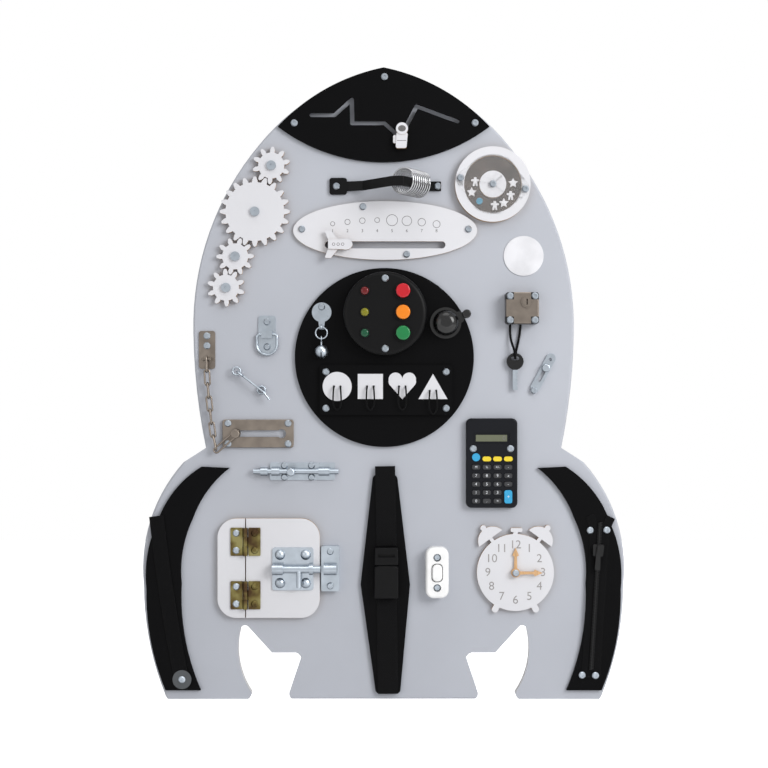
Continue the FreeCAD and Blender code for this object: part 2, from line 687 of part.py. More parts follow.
def star(middle, radius, points=5, inner=0.5):
    x, z = middle
    rays = [(radius if turn % 2 == 0 else radius * inner, math.pi / 2 + turn * math.pi / points)
            for turn in range(2 * points)]
    return polygon([(x + reach * math.cos(turn), z + reach * math.sin(turn)) for reach, turn in rays])


def little_man(middle):
    """A figure of five parts in one outline: head, two arms and two legs."""
    x, z = middle
    half = [(1.4, 4.6), (1.4, 2.6), (4.4, 2.2), (4.4, 0.4), (2, 0.2), (2.8, -5), (0.9, -5), (0, -1.6)]
    right = [(x + across, z + up) for across, up in half]
    left = [(x - across, z + up) for across, up in reversed(half[:-1])]
    return polygon(right + left)


def make_porthole():
    middle = place("port")
    frame = plate("porthole_ring", circle(middle, size("port_radius")), BOARD_FACE, "port_thick",
                  circle(middle, size("port_window_radius")) + screw_holes(PORT_SCREWS))
    pad(frame, BOARD_FACE, "port_thick", circle(middle, size("port_hub_radius")))
    pocket(frame, BOARD_FACE + " + port_thick", "port_thick", screw_holes([middle]))
    back = plate("porthole_mirror", circle(middle, size("port_window_radius") - 0.15), BOARD_FACE, "port_back_thick",
                 circle(middle, size("port_hub_radius") + 0.15))
    glass = new_body("porthole_window")
    front = BOARD_FACE + " + port_thick"
    pad(glass, front, "port_glass_thick", circle(middle, size("port_window_radius") + 1.2))
    x, z = middle
    for screw_x, screw_z in PORT_SCREWS:
        out = Vector(screw_x - x, screw_z - z, 0).normalize()
        side = Vector(-out.y, out.x, 0)
        tip = Vector(x, z, 0) + out * (size("port_radius") - 2.6)
        foot_a, foot_b = (Vector(x, z, 0) + out * 22 + side * sign * 22 for sign in (-1, 1))
        pad(glass, front, "port_glass_thick", rounded([(foot_a.x, foot_a.y), (tip.x - side.x * 6, tip.y - side.y * 6),
            (tip.x + side.x * 6, tip.y + side.y * 6), (foot_b.x, foot_b.y)], 2))
    pocket(glass, front + " + port_glass_thick", "port_glass_thick", screw_holes(PORT_SCREWS + [middle]))
    tokens = new_body("porthole_tokens")
    back = BOARD_FACE + " + port_back_thick + token_gap"
    spots = around("port", [(-19.2, 3.2), (2.4, -23.2), (19.9, -12), (-23.2, -8.6), (12.4, -20.5), (22.6, 1.6)])
    for spot in spots[:3]:
        pad(tokens, back, "token_thick", little_man(spot))
    for spot in spots[3:]:
        pad(tokens, back, "token_thick", star(spot, 5.6))
    pad(tokens, back, "token_thick", circle(around("port", [(-14.6, -18.4)])[0], 3.6))


# Lamp with three push buttons

LAMP_ROWS = (24.7, 1.4, -21.3)


def make_lamp():
    x, z = place("lamp")
    back = worth(PANEL_FACE)
    front = back + size("lamp_height")
    radius, curve = size("lamp_radius"), size("lamp_round")
    casing = new_body("lamp_casing")
    outline = trace((0, -back), [(radius, -back), (radius, -(front - curve)),
                                 (radius - curve, -front, curve * 0.293), (0, -front), (0, -back)])
    revolve(casing, outline, (x, z))
    wells = [(x + 19.4, z + row) for row in LAMP_ROWS]
    lenses = [(x - 22.4, z + row) for row in LAMP_ROWS]
    pad(casing, PANEL_FACE + " + lamp_height", "bezel_height", circles(wells, size("bezel_radius")))
    pocket(casing, PANEL_FACE + " + lamp_height + bezel_height", "bezel_height + button_travel + 6",
           circles(wells, size("button_radius") + size("button_play")))
    pocket(casing, PANEL_FACE + " + lamp_height", "3", circles(lenses, size("lens_radius")))
    pocket(casing, PANEL_FACE + " + lamp_height", "lamp_height", screw_holes(LAMP_SCREWS))
    for name, well in zip(("red_button", "amber_button", "green_button"), wells):
        button = plate(name, circle(well, size("button_radius")), PANEL_FACE + " + lamp_height - 5.5",
                       "5.5 + bezel_height + button_proud")
        round_front(button, PANEL_FACE + " + lamp_height + bezel_height + button_proud", "1.5")
    lens = new_body("lamp_lenses")
    pad(lens, PANEL_FACE + " + lamp_height - 3", "3 + lens_proud", circles(lenses, size("lens_radius")))
    round_front(lens, PANEL_FACE + " + lamp_height + lens_proud", "2")


# Bell with a thumb lever

def make_bell():
    x, z = place("bell")
    back = worth(PANEL_FACE)
    base = plate("bell_base", circle((x, z), size("bell_base_radius") * 0.8), PANEL_FACE, "bell_base_thick")
    knob_x, knob_z = place("bell_knob")
    ear = ((x + knob_x) / 2 + 3.5, (z + knob_z) / 2 + 1.4)
    pad(base, PANEL_FACE, "bell_base_thick", circle(ear, 6.5))
    pad(base, PANEL_FACE, "bell_base_thick + bell_lever_thick + 1.4", circle(ear, 1.6))
    pad(base, PANEL_FACE, "bell_base_thick + bell_post", circle((x, z), 4))
    dome = new_body("bell_dome")
    low = back + size("bell_base_thick") + size("bell_post")
    top = low + size("bell_height")
    radius, wall = size("bell_radius"), 1.2
    post, crown = 3, 2.5
    profile = trace((radius, -low), [(radius, -(low + 3)), (crown, -top, 3.4), (0, -top), (0, -low), (post, -low),
                                     (post, -(top - wall - 0.3)), (radius - wall, -(low + 3), -2.9),
                                     (radius - wall, -low), (radius, -low)])
    revolve(dome, profile, (x, z))
    lever = new_body("bell_lever")
    seat = PANEL_FACE + " + bell_base_thick + 0.2"
    pad(lever, seat, "bell_lever_thick", band(ear, (knob_x, knob_z), 7))
    pad(lever, seat, "bell_lever_thick + bell_knob_length", circle((knob_x, knob_z), size("bell_knob_radius")))
    pocket(lever, seat + " + bell_lever_thick", "bell_lever_thick", circle(ear, 1.7))
    round_front(lever, seat + " + bell_lever_thick + bell_knob_length", "1.4")


# Jingle charm

def ring(middle, radius, wire, axis):
    return Part.makeTorus(radius, wire / 2, middle, axis)


def make_charm():
    """Washer with a tab and a standing eye; a ring through the eye carries the jingle bell."""
    x, z = place("charm")
    tab = plate("charm_anchor", circle((x, z), size("charm_washer_radius")), PANEL_FACE, "sheet_thick",
                screw_holes(CHARM_SCREWS))
    pad(tab, PANEL_FACE, "sheet_thick", rounded([(x - 4, z - 6), (x - 2.6, z - 19), (x + 2.6, z - 19), (x + 4, z - 6)], 1))
    ring_x, ring_z = place("charm_ring")
    wire, radius, eye_radius = size("charm_wire"), size("charm_ring_radius"), 2.9
    depth = worth(PANEL_FACE) + size("jingle_radius") + 0.6
    eye = ring(at(ring_x, depth, ring_z + radius), eye_radius, 1.3, Vector(1, 0, 0))
    sheet_face = worth(PANEL_FACE) + size("sheet_thick")
    stalk = Part.makeCylinder(0.9, depth - eye_radius - sheet_face, at(ring_x, sheet_face, ring_z + radius),
                              Vector(0, -1, 0))
    shaped("charm_eye", eye.fuse(stalk).removeSplitter())
    hoop = ring(at(ring_x, depth, ring_z), radius, wire, Vector(0, 1, 0))
    bell_x, bell_z = place("jingle")
    ball_radius, wall = size("jingle_radius"), 0.9
    ball = Part.makeSphere(ball_radius, at(bell_x, depth, bell_z))
    hollow = Part.makeSphere(ball_radius - wall, at(bell_x, depth, bell_z))
    low = bell_z - ball_radius - 1
    slit = Part.makeBox(2 * ball_radius, 1.4, ball_radius, at(bell_x - ball_radius, depth + 0.7, low))
    slit_across = Part.makeBox(1.4, 2 * ball_radius, ball_radius, at(bell_x - 0.7, depth + ball_radius, low))
    loop = ring(at(bell_x, depth, ring_z - radius), eye_radius, 1.3, Vector(1, 0, 0))
    neck_low = bell_z + ball_radius - wall / 2
    neck = Part.makeCylinder(1, ring_z - radius - eye_radius - neck_low, at(bell_x, depth, neck_low), Vector(0, 0, 1))
    bell = ball.cut(hollow).cut(slit).cut(slit_across).fuse([loop, neck]).removeSplitter()
    shaped("jingle_charm", Part.makeCompound([hoop, bell]))


# Shape sorter with four pull-out shapes on cord loops

def heart(middle, across, grow=0.0):
    """A heart: two round lobes and two straight sides to the point, grown all round by a clearance."""
    x, z = middle
    half, top = across / 2 + grow, z + across * 0.22
    dip, point = (x, z + across * 0.24 + grow), (x, z - across * 0.47 - grow * 1.3)
    return both_sides(dip, [(x + half, top, half * 0.56), (x + half * 0.86, top - across * 0.2, half * 0.06), point], x)


def triangle(middle, side, grow=0.0):
    x, z = middle
    reach = side / math.sqrt(3) + 2 * grow
    turns = [math.radians(90 + 120 * corner) for corner in range(3)]
    return polygon([(x + reach * math.cos(turn), z + reach * math.sin(turn)) for turn in turns])


SHAPES = ("disc", "square", "heart", "triangle")


def sorted_shapes(grow):
    """Outlines of the four shapes, each grown by a clearance."""
    side = size("shape_square_side") + 2 * grow
    return [circle(place("sort_disc"), size("shape_disc_radius") + grow), oblong(place("sort_square"), side, side),
            heart(place("sort_heart"), size("shape_heart_size"), grow),
            triangle(place("sort_triangle"), size("shape_triangle_side"), grow)]


def loop_holes():
    """The two cord holes in each shape."""
    pairs = []
    for name in SHAPES:
        x, z = place("sort_" + name)
        pairs.append(((x - 3.6, z), (x + 3.6, z)))
    return pairs


def make_sorter():
    windows = [edge for outline in sorted_shapes(size("sorter_play")) for edge in outline]
    plate("shape_sorter", oblong(place("sorter"), size("sorter_width"), size("sorter_height"), 3), PANEL_FACE,
          "sorter_thick", windows + screw_holes(SORTER_SCREWS))
    for name, outline, holes in zip(SHAPES, sorted_shapes(0), loop_holes()):
        shape = new_body(name + "_shape")
        pad(shape, PANEL_FACE + " + 0.2", "shape_thick", outline)
        pocket(shape, PANEL_FACE + " + 0.2 + shape_thick", "shape_thick - 0.6",
               circles(holes, size("shape_hole_radius")))


def make_shape_loops():
    """A cord loop for each shape: out of one hole, down in a slack bend, and back into the other."""
    wire = size("loop_wire")
    start = worth(PANEL_FACE + " + 0.2 + 0.8")
    face = worth(PANEL_FACE + " + 0.2 + shape_thick")
    loops = []
    for (left, z), (right, _) in loop_holes():
        middle, low = (left + right) / 2, z - size("loop_drop")
        points = [at(left, start, z), at(left, face + 3.4, z), at(left - 0.7, face + 4.6, z - 8),
                  at(middle - 4.6, face + 3.2, low + 6), at(middle, face + 2.6, low), at(middle + 4.6, face + 3.2, low + 6),
                  at(right + 0.7, face + 4.6, z - 8), at(right, face + 3.4, z), at(right, start, z)]
        loops.append(tube(wire_along(points, 1.5), wire))
    shaped("shape_loops", Part.makeCompound(loops))


# Door chain: anchor plate, interlocking links, track plate and slider

CHAIN_ROUTE = [(-195.4, 29), (-194.6, 8), (-193, -14), (-191, -32), (-189, -52), (-185.4, -70), (-180.6, -86.6),
               (-172.6, -87.6), (-168.4, -77)]


def chain_bend():
    """Radius of the middle line of a link's round ends."""
    return (size("chain_width") - size("chain_wire")) / 2


def chain_joints():
    """Points where the links hook into each other, spaced by a flat and by a standing link in turn.

    At each point a standing link's tip passes through the middle of a flat link's round end, so the two can
    turn about it without touching."""
    route = [at(x, worth(BOARD_FACE) + size("chain_lift"), z) for x, z in CHAIN_ROUTE]
    end_x, _ = place("chain_end")
    end = at(end_x, worth(BOARD_FACE) + size("chain_lift"), place("rail_plate")[1])
    samples = Part.makePolygon(route).discretize(3000)
    joints = [samples[0]]
    for point in samples:
        standing = len(joints) % 2 == 1
        reach = size("chain_pitch") + (chain_bend() if standing else -chain_bend())
        if (point - joints[-1]).Length >= reach:
            joints.append(point)
    if len(joints) % 2 == 1:
        joints.pop()
    return joints + [end]


def link(start, end, standing):
    """One long oval link: its pivots are its tips if it stands on edge, and the middles of its ends if it is flat."""
    bend = chain_bend()
    direction = (end - start).normalize()
    across = Vector(0, 1, 0) if standing else direction.cross(Vector(0, 1, 0)).normalize()
    middle = (start + end) * 0.5
    straight = (end - start).Length / 2 - (bend if standing else 0)
    far, near = middle + direction * straight, middle - direction * straight
    edges = [
        Part.LineSegment(middle + across * bend, far + across * bend).toShape(),
        Part.Arc(far + across * bend, far + direction * bend, far - across * bend).toShape(),
        Part.LineSegment(far - across * bend, near - across * bend).toShape(),
        Part.Arc(near - across * bend, near - direction * bend, near + across * bend).toShape(),
        Part.LineSegment(near + across * bend, middle + across * bend).toShape(),
    ]
    return tube(Part.Wire(edges), size("chain_wire"))


def make_chain():
    """Links in turn standing and flat, hung from a staple on the anchor plate; the last is held by the slider."""
    joints = chain_joints()
    links = [link(joints[index], joints[index + 1], index % 2 == 0) for index in range(len(joints) - 1)]
    shaped("door_chain", Part.makeCompound(links))
    x, z = place("anchor")
    anchor = plate("chain_anchor", oblong((x, z), size("anchor_width"), size("anchor_length"), 3), BOARD_FACE,
                   "sheet_thick", screw_holes(ANCHOR_SCREWS))
    first = joints[0] + (joints[1] - joints[0]).normalize() * chain_bend()
    bar = size("chain_wire") / 2 - 0.1
    for side in (-1, 1):
        pad(anchor, BOARD_FACE, "chain_lift + 1", oblong((first.x + side * 4.4, first.z), 2, 3))
    pad(anchor, "anchor_x - 5.4", "10.8", circle((first.y, first.z), bar), "YZ_Plane")


def make_rail_plate():
    """Pressed plate with a slot, a round keyhole at its right end and the head of the slider in front."""
    x, z = place("rail_plate")
    left, right = place("chain_end")[0], x + 26
    body = plate("chain_rail", oblong((x, z), size("rail_plate_width"), size("rail_plate_height"), 3), BOARD_FACE,
                 "rail_plate_thick", band((left, z), (right, z), size("rail_plate_slot"))
                 + screw_holes(RAIL_PLATE_SCREWS))
    pocket(body, BOARD_FACE + " + rail_plate_thick", "rail_plate_thick", circle((right, z), size("rail_key_radius")))
    pocket(body, BOARD_FACE + " + 2.4", "2.4",
           band((left, z), (right, z), size("rail_plate_slot") + 4.4))
    round_front(body, BOARD_FACE + " + rail_plate_thick", "0.8", 60)
    end = place("chain_end")
    slider = new_body("chain_slider")
    neck = worth("rail_plate_slot") / 2 - size("slide_play")
    pad(slider, BOARD_FACE + " + 0.3", "1.8", circle((end[0], z), neck + 1.9))
    pad(slider, BOARD_FACE + " + 0.3", "rail_plate_thick", circle((end[0], z), neck))
    post = chain_bend() - size("chain_wire") / 2 - 0.5
    pad(slider, BOARD_FACE + " + 0.3", "chain_lift + 2", circle((end[0], z), post))
    pad(slider, BOARD_FACE + " + chain_lift + 1.5", "2.4", circle((end[0], z), neck + 1.6))
    round_front(slider, BOARD_FACE + " + chain_lift + 3.9", "1")


# Lashing ring, cabin hook, tower bolt and slide latch

def make_ring_plate():
    x, z = place("ring_plate")
    body = plate("ring_plate", oblong((x, z), size("ring_plate_width"), size("ring_plate_length"), 3), BOARD_FACE,
                 "sheet_thick", screw_holes(RING_PLATE_SCREWS))
    wire = size("ring_wire")
    depth = worth("board_thick + sheet_thick") + wire / 2 + 0.5
    for side in (-1, 1):
        pad(body, BOARD_FACE, "sheet_thick + ring_wire + 2.4", oblong((x, z + side * (wire / 2 + 1.5)), 12, 2.2))
    pad(body, BOARD_FACE + " + sheet_thick + ring_wire + 0.9", "1.5", oblong((x, z), 12, wire + 5.2))
    half, drop = size("ring_width") / 2 - wire / 2, size("ring_drop") - wire
    top = z
    flat = drop - half
    bend = 3
    cut = bend * (1 - math.sqrt(0.5))
    edges = [
        Part.LineSegment(at(x, depth, top), at(x + half - bend, depth, top)).toShape(),
        Part.Arc(at(x + half - bend, depth, top), at(x + half - cut, depth, top - cut),
                 at(x + half, depth, top - bend)).toShape(),
        Part.LineSegment(at(x + half, depth, top - bend), at(x + half, depth, top - flat)).toShape(),
        Part.Arc(at(x + half, depth, top - flat), at(x, depth, top - drop), at(x - half, depth, top - flat)).toShape(),
        Part.LineSegment(at(x - half, depth, top - flat), at(x - half, depth, top - bend)).toShape(),
        Part.Arc(at(x - half, depth, top - bend), at(x - half + cut, depth, top - cut),
                 at(x - half + bend, depth, top)).toShape(),
        Part.LineSegment(at(x - half + bend, depth, top), at(x, depth, top)).toShape(),
    ]
    shaped("lashing_ring", tube(Part.Wire(edges), wire))


def hook_frame():
    """Middle of the upper eye, direction of the hook in the board's plane, and the point that it swings about."""
    (x, z), (far_x, far_z) = place("hook_eye"), place("hook_catch")
    reach = Vector(far_x - x, 0, far_z - z).normalize()
    eye = at(x, worth(BOARD_FACE) + size("eye_radius") + size("hook_wire") + 0.8, z)
    return eye, reach, eye + reach * size("eye_radius")


def make_cabin_hook():
    """Two screw eyes, and a hook that swings on the upper one and drops its tip into the lower one."""
    wire, radius = size("hook_wire"), size("eye_radius")
    far_x, far_z = place("hook_catch")
    eye, reach, pivot = hook_frame()
    board = worth(BOARD_FACE)
    catch = at(far_x, board + wire / 2 + 2, far_z)
    eyes = []
    for middle, away in ((eye, reach * -radius), (catch, reach * radius)):
        foot = middle + away
        stem = pin((foot.x, foot.z), board, size("eye_stem_radius"), -middle.y - board)
        eyes.append(ring(middle, radius, wire, Vector(0, 1, 0)).fuse(stem).removeSplitter())
    shaped("screw_eyes", Part.makeCompound(eyes))
    loop_radius, slack = radius - 0.3, 0.8
    loop_middle = pivot + reach * slack
    loop = Part.makeTorus(loop_radius, wire / 2, loop_middle, reach.cross(Vector(0, 1, 0)))
    over = at(far_x, -eye.y + 2, far_z)
    rod = tube(wire_along([loop_middle + reach * loop_radius, over - reach * 8, over + reach * 4,
                           over + reach * 9 + Vector(2, 1, -5)], 2.2), wire)
    tip = Part.makeCylinder(wire / 2, -over.y - board - 0.6, over, Vector(0, 1, 0))
    shaped("cabin_hook", loop.fuse(rod).fuse(tip).removeSplitter())


def make_tower_bolt():
    x, z = place("tower_bolt")
    rod, play, wall = size("bolt_rod_radius"), size("bolt_play"), size("bolt_guide_wall")
    centre = worth("board_thick + sheet_thick") + rod + play + 0.4
    base = plate("tower_bolt_base", oblong((x, z), 72, 19.3, 2), BOARD_FACE, "sheet_thick",
                 screw_holes(BOLT_BASE_SCREWS))
    outer = rod + play + wall
    low = worth(BOARD_FACE)

    def saddle():
        """Guide section on the YZ plane: flat foot, round back, and the bore for the rod."""
        foot = [(-low, z - outer), (-centre, z - outer)]
        arch = trace(foot[0], [foot[1], (-centre, z + outer, outer), (-low, z + outer), foot[0]])
        return arch + circle((-centre, z), rod + play)

    for start, length in ((-34, 9), (18, 12)):
        pad(base, "tower_bolt_x + %g" % start if start >= 0 else "tower_bolt_x - %g" % -start, "%g" % length, saddle(),
            "YZ_Plane")
    keeper = new_body("tower_bolt_keeper")
    pad(keeper, "tower_bolt_x - 46", "8", saddle(), "YZ_Plane")
    bolt = new_body("tower_bolt_rod")
    pad(bolt, "tower_bolt_x - 54", "94", circle((-centre, z), rod), "YZ_Plane")
    knob_x = x - 12
    pad(bolt, "board_thick + sheet_thick + 3", "12", circle((knob_x, z), 2.4))
    pad(bolt, "board_thick + sheet_thick + 12", "5.5", circle((knob_x, z), 4.6))
    round_front(bolt, BOARD_FACE + " + sheet_thick + 17.5", "2")


def turned(middle, offset, angle):
    """A point at an offset from a middle, the offset turned by an angle in degrees."""
    turn = math.radians(angle)
    across, up = offset
    return (middle[0] + across * math.cos(turn) - up * math.sin(turn),
            middle[1] + across * math.sin(turn) + up * math.cos(turn))


LATCH_TILT = 61.7


def make_latch():
    """Leaning slide latch: a bar with a hole, a slot and a knob that runs in the slot."""
    middle = place("latch")
    half = (size("latch_bar_length") - size("latch_bar_width")) / 2
    line = [turned(middle, (reach, 0), LATCH_TILT) for reach in (-half, half)]
    slot = [turned(middle, (reach, 0), LATCH_TILT) for reach in (-9, 9)]
    hole = turned(middle, (16.6, 0), LATCH_TILT)
    body = plate("slide_latch", band(*line, size("latch_bar_width")), BOARD_FACE, "sheet_thick + 1",
                 band(*slot, size("latch_slot")) + screw_holes(LATCH_SCREWS) + circle(hole, 1.8))
    pocket(body, BOARD_FACE + " + 1.4", "1.4", band(*slot, size("latch_slot") + 3))
    knob = new_body("latch_slider")
    spot = turned(middle, (6, 0), LATCH_TILT)
    neck = size("latch_slot") / 2 - size("slide_play")
    pad(knob, BOARD_FACE + " + 0.2", "1", circle(spot, neck + 1.3))
    pad(knob, BOARD_FACE + " + 0.2", "sheet_thick + 1.4", circle(spot, neck))
    pad(knob, BOARD_FACE + " + sheet_thick + 1.3", "5", circle(spot, size("latch_knob_radius")))
    round_front(knob, BOARD_FACE + " + sheet_thick + 6.3", "1.2")


# Door with butt hinges and a slide bolt

def hinge_x():
    return place("door")[0] - size("door_width") / 2 + size("door_strip_width") + size("door_gap") / 2


def hinge_depth():
    """Depth of the hinge axis: the knuckles stand on the leaves, in front of the door."""
    return worth("board_thick + door_thick") + size("hinge_knuckle_radius") + 0.3


def make_door():
    middle = place("door")
    width, height, corner = size("door_width"), size("door_height"), size("door_corner")
    split = hinge_x()
    left, right = middle[0] - width / 2, middle[0] + width / 2
    low, high = middle[1] - height / 2, middle[1] + height / 2
    sag = corner * (1 - math.sqrt(0.5))
    strip_edge, leaf_edge = split - size("door_gap") / 2, split + size("door_gap") / 2
    strip = trace((strip_edge, high), [(left + corner, high), (left, high - corner, -sag), (left, low + corner),
                                       (left + corner, low, -sag), (strip_edge, low), (strip_edge, high)])
    leaf = trace((leaf_edge, low), [(right - corner, low), (right, low + corner, -sag), (right, high - corner),
                                    (right - corner, high, -sag), (leaf_edge, high), (leaf_edge, low)])
    fixed, moving = hinge_screws()
    plate("door_strip", strip, BOARD_FACE, "door_thick", screw_holes(fixed))
    plate("door_leaf", leaf, BOARD_FACE + " + 0.4", "door_thick - 0.4", screw_holes(moving + door_bolt_screws()))


def hinge_screws():
    """Screw places of the fixed and of the moving hinge leaves."""
    axis, reach = hinge_x(), size("hinge_width") / 2 - 6.4
    fixed = [(axis - reach, level + side * 9.5) for level in HINGE_LEVELS for side in (-1, 1)]
    moving = [(axis + reach, level + side * 9.5) for level in HINGE_LEVELS for side in (-1, 1)]
    return fixed, moving


def door_bolt_screws():
    return corners("door_bolt", 14.2, 15.6)


def make_hinges():
    axis, radius = hinge_x(), size("hinge_knuckle_radius")
    depth, half, tall = hinge_depth(), size("hinge_width") / 2, size("hinge_height")
    seat = "board_thick + door_thick"
    fixed, moving = hinge_screws()
    gap, bore = size("hinge_knuckle_gap"), size("hinge_pin_radius") + size("hinge_play")
    knuckle = tall / 3
    for label, side, holes in (("hinge_fixed_leaves", -1, fixed), ("hinge_moving_leaves", 1, moving)):
        body = new_body(label)
        for level in HINGE_LEVELS:
            clear = radius + 0.6
            pad(body, seat, "1.4", oblong((axis + side * (half + clear) / 2, level), half - clear, tall, 1.2))
            barrels = (-1, 1) if side < 0 else (0,)
            for barrel in barrels:
                low = level + barrel * knuckle - knuckle / 2 + gap / 2
                barrel_base = "%s" % abs(low)
                outline = circle((axis, -depth), radius) if side < 0 else (
                    circle((axis, -depth), radius) + circle((axis, -depth), bore))
                pad(body, "0 - " + barrel_base, "hinge_height / 3 - hinge_knuckle_gap", outline, "XY_Plane")
                root = polygon([(axis + side * 1.55, -worth(seat)), (axis + side * 3.4, -worth(seat)),
                                (axis + side * 3.4, -worth(seat) - 1.4), (axis + side * 2.3, -depth),
                                (axis + side * 1.55, -depth)])
                pad(body, "0 - " + barrel_base, "hinge_height / 3 - hinge_knuckle_gap", root, "XY_Plane")
            if side < 0:
                pad(body, "0 - %g" % abs(level - tall / 2), "hinge_height", circle((axis, -depth), size("hinge_pin_radius")),
                    "XY_Plane")
        pocket(body, seat + " + 1.4", "1.4", screw_holes(holes))


def make_door_bolt():
    """Plate with domed corner screws, round barrel, and a rod with a turned-down handle."""
    x, z = place("door_bolt")
    seat = "board_thick + door_thick"
    rod, wall, play = size("door_bolt_radius"), size("door_bolt_wall"), size("bolt_play")
    centre = worth(seat) + 1.6 + rod + play + 0.6
    outer = rod + play + wall
    low = worth(seat)
    body = plate("door_bolt_body", oblong((x, z), size("door_bolt_plate_width"), size("door_bolt_plate_height"), 3), seat,
                 "1.6", screw_holes(door_bolt_screws()))

    def section():
        arch = trace((-low, z - outer), [(-centre, z - outer), (-centre, z + outer, outer), (-low, z + outer), (-low, z - outer)])
        return arch + circle((-centre, z), rod + play)

    for start, length in ((-22.6, 12), (18.2, 4.2)):
        pad(body, "0 - %g" % -(x + start), "%g" % length, section(), "YZ_Plane")
    bolt = new_body("door_bolt_rod")
    tip = place("keeper")[0] - size("keeper_width") / 2 - size("door_bolt_gap")
    start = x - 22
    pad(bolt, "0 - %g" % -start, "%g" % (tip - start), circle((-centre, z), rod), "YZ_Plane")
    handle_x = x + 7
    pad(bolt, "0 - %g" % -(z - 20), "20", circle((handle_x, -(centre + rod * 0.4)), 2.6), "XY_Plane")
    keeper_x, keeper_z = place("keeper")
    keeper = new_body("bolt_keeper")
    pad(keeper, BOARD_FACE, "door_thick + 1.6", oblong((keeper_x, keeper_z), size("keeper_width"), size("keeper_height"), 2))
    arch = trace((-low, z - outer), [(-centre, z - outer), (-centre, z + outer, outer), (-low, z + outer), (-low, z - outer)])
    pad(keeper, "0 - %g" % -(keeper_x - 7), "14", arch + circle((-centre, z), rod + play + 0.3), "YZ_Plane")
    hole = circle((-centre, z), rod + play + 0.3)
    pocket(keeper, "keeper_x + keeper_width / 2 + 1", "keeper_width + 2", hole, "YZ_Plane")
    pocket(keeper, BOARD_FACE + " + door_thick + 1.6", "door_thick + 1.6", screw_holes(KEEPER_SCREWS))


# Rocker switch, clock, calculator

def make_switch():
    x, z = place("door_switch")
    body = plate("switch_body", oblong((x, z), size("switch_width"), size("switch_height"), 9), BOARD_FACE, "switch_thick")
    round_front(body, BOARD_FACE + " + switch_thick", "3.5")
    play = size("rocker_play")
    pocket(body, BOARD_FACE + " + switch_thick", "9", oblong((x, z), size("rocker_width") + 2 * play,
           size("rocker_height") + 2 * play, 5))
    pocket(body, BOARD_FACE + " + switch_thick", "4", circles(SWITCH_SCREWS, size("screw_head_radius") + 0.5))
    pocket(body, BOARD_FACE + " + switch_thick", "switch_thick", screw_holes(SWITCH_SCREWS))
    rocker = plate("switch_rocker", oblong((x, z), size("rocker_width"), size("rocker_height"), 5),
                   BOARD_FACE + " + switch_thick - 5", "7.2")
    round_front(rocker, BOARD_FACE + " + switch_thick + 2.2", "1.6")


def make_clock():
    """Alarm clock face cut from plywood: round face, two bells with knobs, a hammer and two feet."""
    x, z = place("clock")
    thick = "clock_thick"
    body = new_body("clock_face")
    face = size("clock_radius")
    pad(body, BOARD_FACE, thick, circle((x, z), face))
    pad(body, BOARD_FACE, thick, along([(x, z + face - 4), (x, z + face + 1), (x + 1, z + face + 3.4)], 5))
    pad(body, BOARD_FACE, thick, oblong((x + 1.2, z + face + 4.4), 13, 4.4, 1.6))
    for side in (-1, 1):
        bell = turned((x, z), (0, face + 8), -36 * side)
        inner = turned((x, z), (0, face - 5), -36 * side)
        pad(body, BOARD_FACE, thick, band(inner, bell, 4))
        dome = [turned(bell, point, -36 * side) for point in ((-15.5, -4), (15.5, -4))]
        pad(body, BOARD_FACE, thick, trace(dome[1], [dome[0] + (-12.5,), dome[1]]))
        pad(body, BOARD_FACE, thick, circle(turned(bell, (0, 10), -36 * side), 3.2))
        foot = turned((x, z), (0, face + 4), 180 + 29 * side)
        pad(body, BOARD_FACE, thick, band(turned((x, z), (0, face - 4), 180 + 29 * side), foot, 7))
    pocket(body, BOARD_FACE + " + clock_thick", "clock_thick", screw_holes([(x, z)]))
    low = BOARD_FACE + " + clock_thick + hand_gap"
    hour = new_body("hour_hand")
    hand(hour, low, (x, z), 27.5, 0)
    minute = new_body("minute_hand")
    hand(minute, low + " + hand_thick + hand_gap", (x, z), 29.5, 90)


def hand(body, height, middle, reach, compass):
    """A clock hand: round boss, tapering arm and spade head, pointing by its compass angle."""
    def spot(across, up):
        return turned(middle, (across, up), -compass)
    pad(body, height, "hand_thick", circle(middle, 5))
    pad(body, height, "hand_thick", polygon([spot(-1.8, 0), spot(1.8, 0), spot(1.3, reach - 7), spot(-1.3, reach - 7)]))
    pad(body, height, "hand_thick", polygon([spot(-3.6, reach - 8.5), spot(0, reach - 10.5), spot(3.6, reach - 8.5), spot(0, reach)]))
    pocket(body, height + " + hand_thick", "hand_thick", circle(middle, size("screw_shank_radius") + 0.1))


def calculator_keys(grow=0.0):
    """Outlines of all keys: a round one, a row of ovals, four by five small ones and one tall one."""
    x, z = place("calculator")
    columns, rows = (-17.4, -5.6, 6.2, 18.1), (-4.3, -13.7, -23, -32.3, -41.6)
    wide, tall = size("key_width") + 2 * grow, size("key_height") + 2 * grow
    keys = [circle((x + columns[0], z + 6.6), 4.4 + grow)]
    for column in columns[1:]:
        keys.append(oblong((x + column, z + 4.8), wide + 1, tall, tall / 2 - 0.1))
    for column in columns:
        for row in rows:
            if column == columns[-1] and row in rows[3:]:
                continue
            keys.append(oblong((x + column, z + row), wide, tall, 1.8))
    keys.append(oblong((x + columns[-1], z + (rows[3] + rows[4]) / 2), wide, tall + 9.3, 2.4))
    return keys


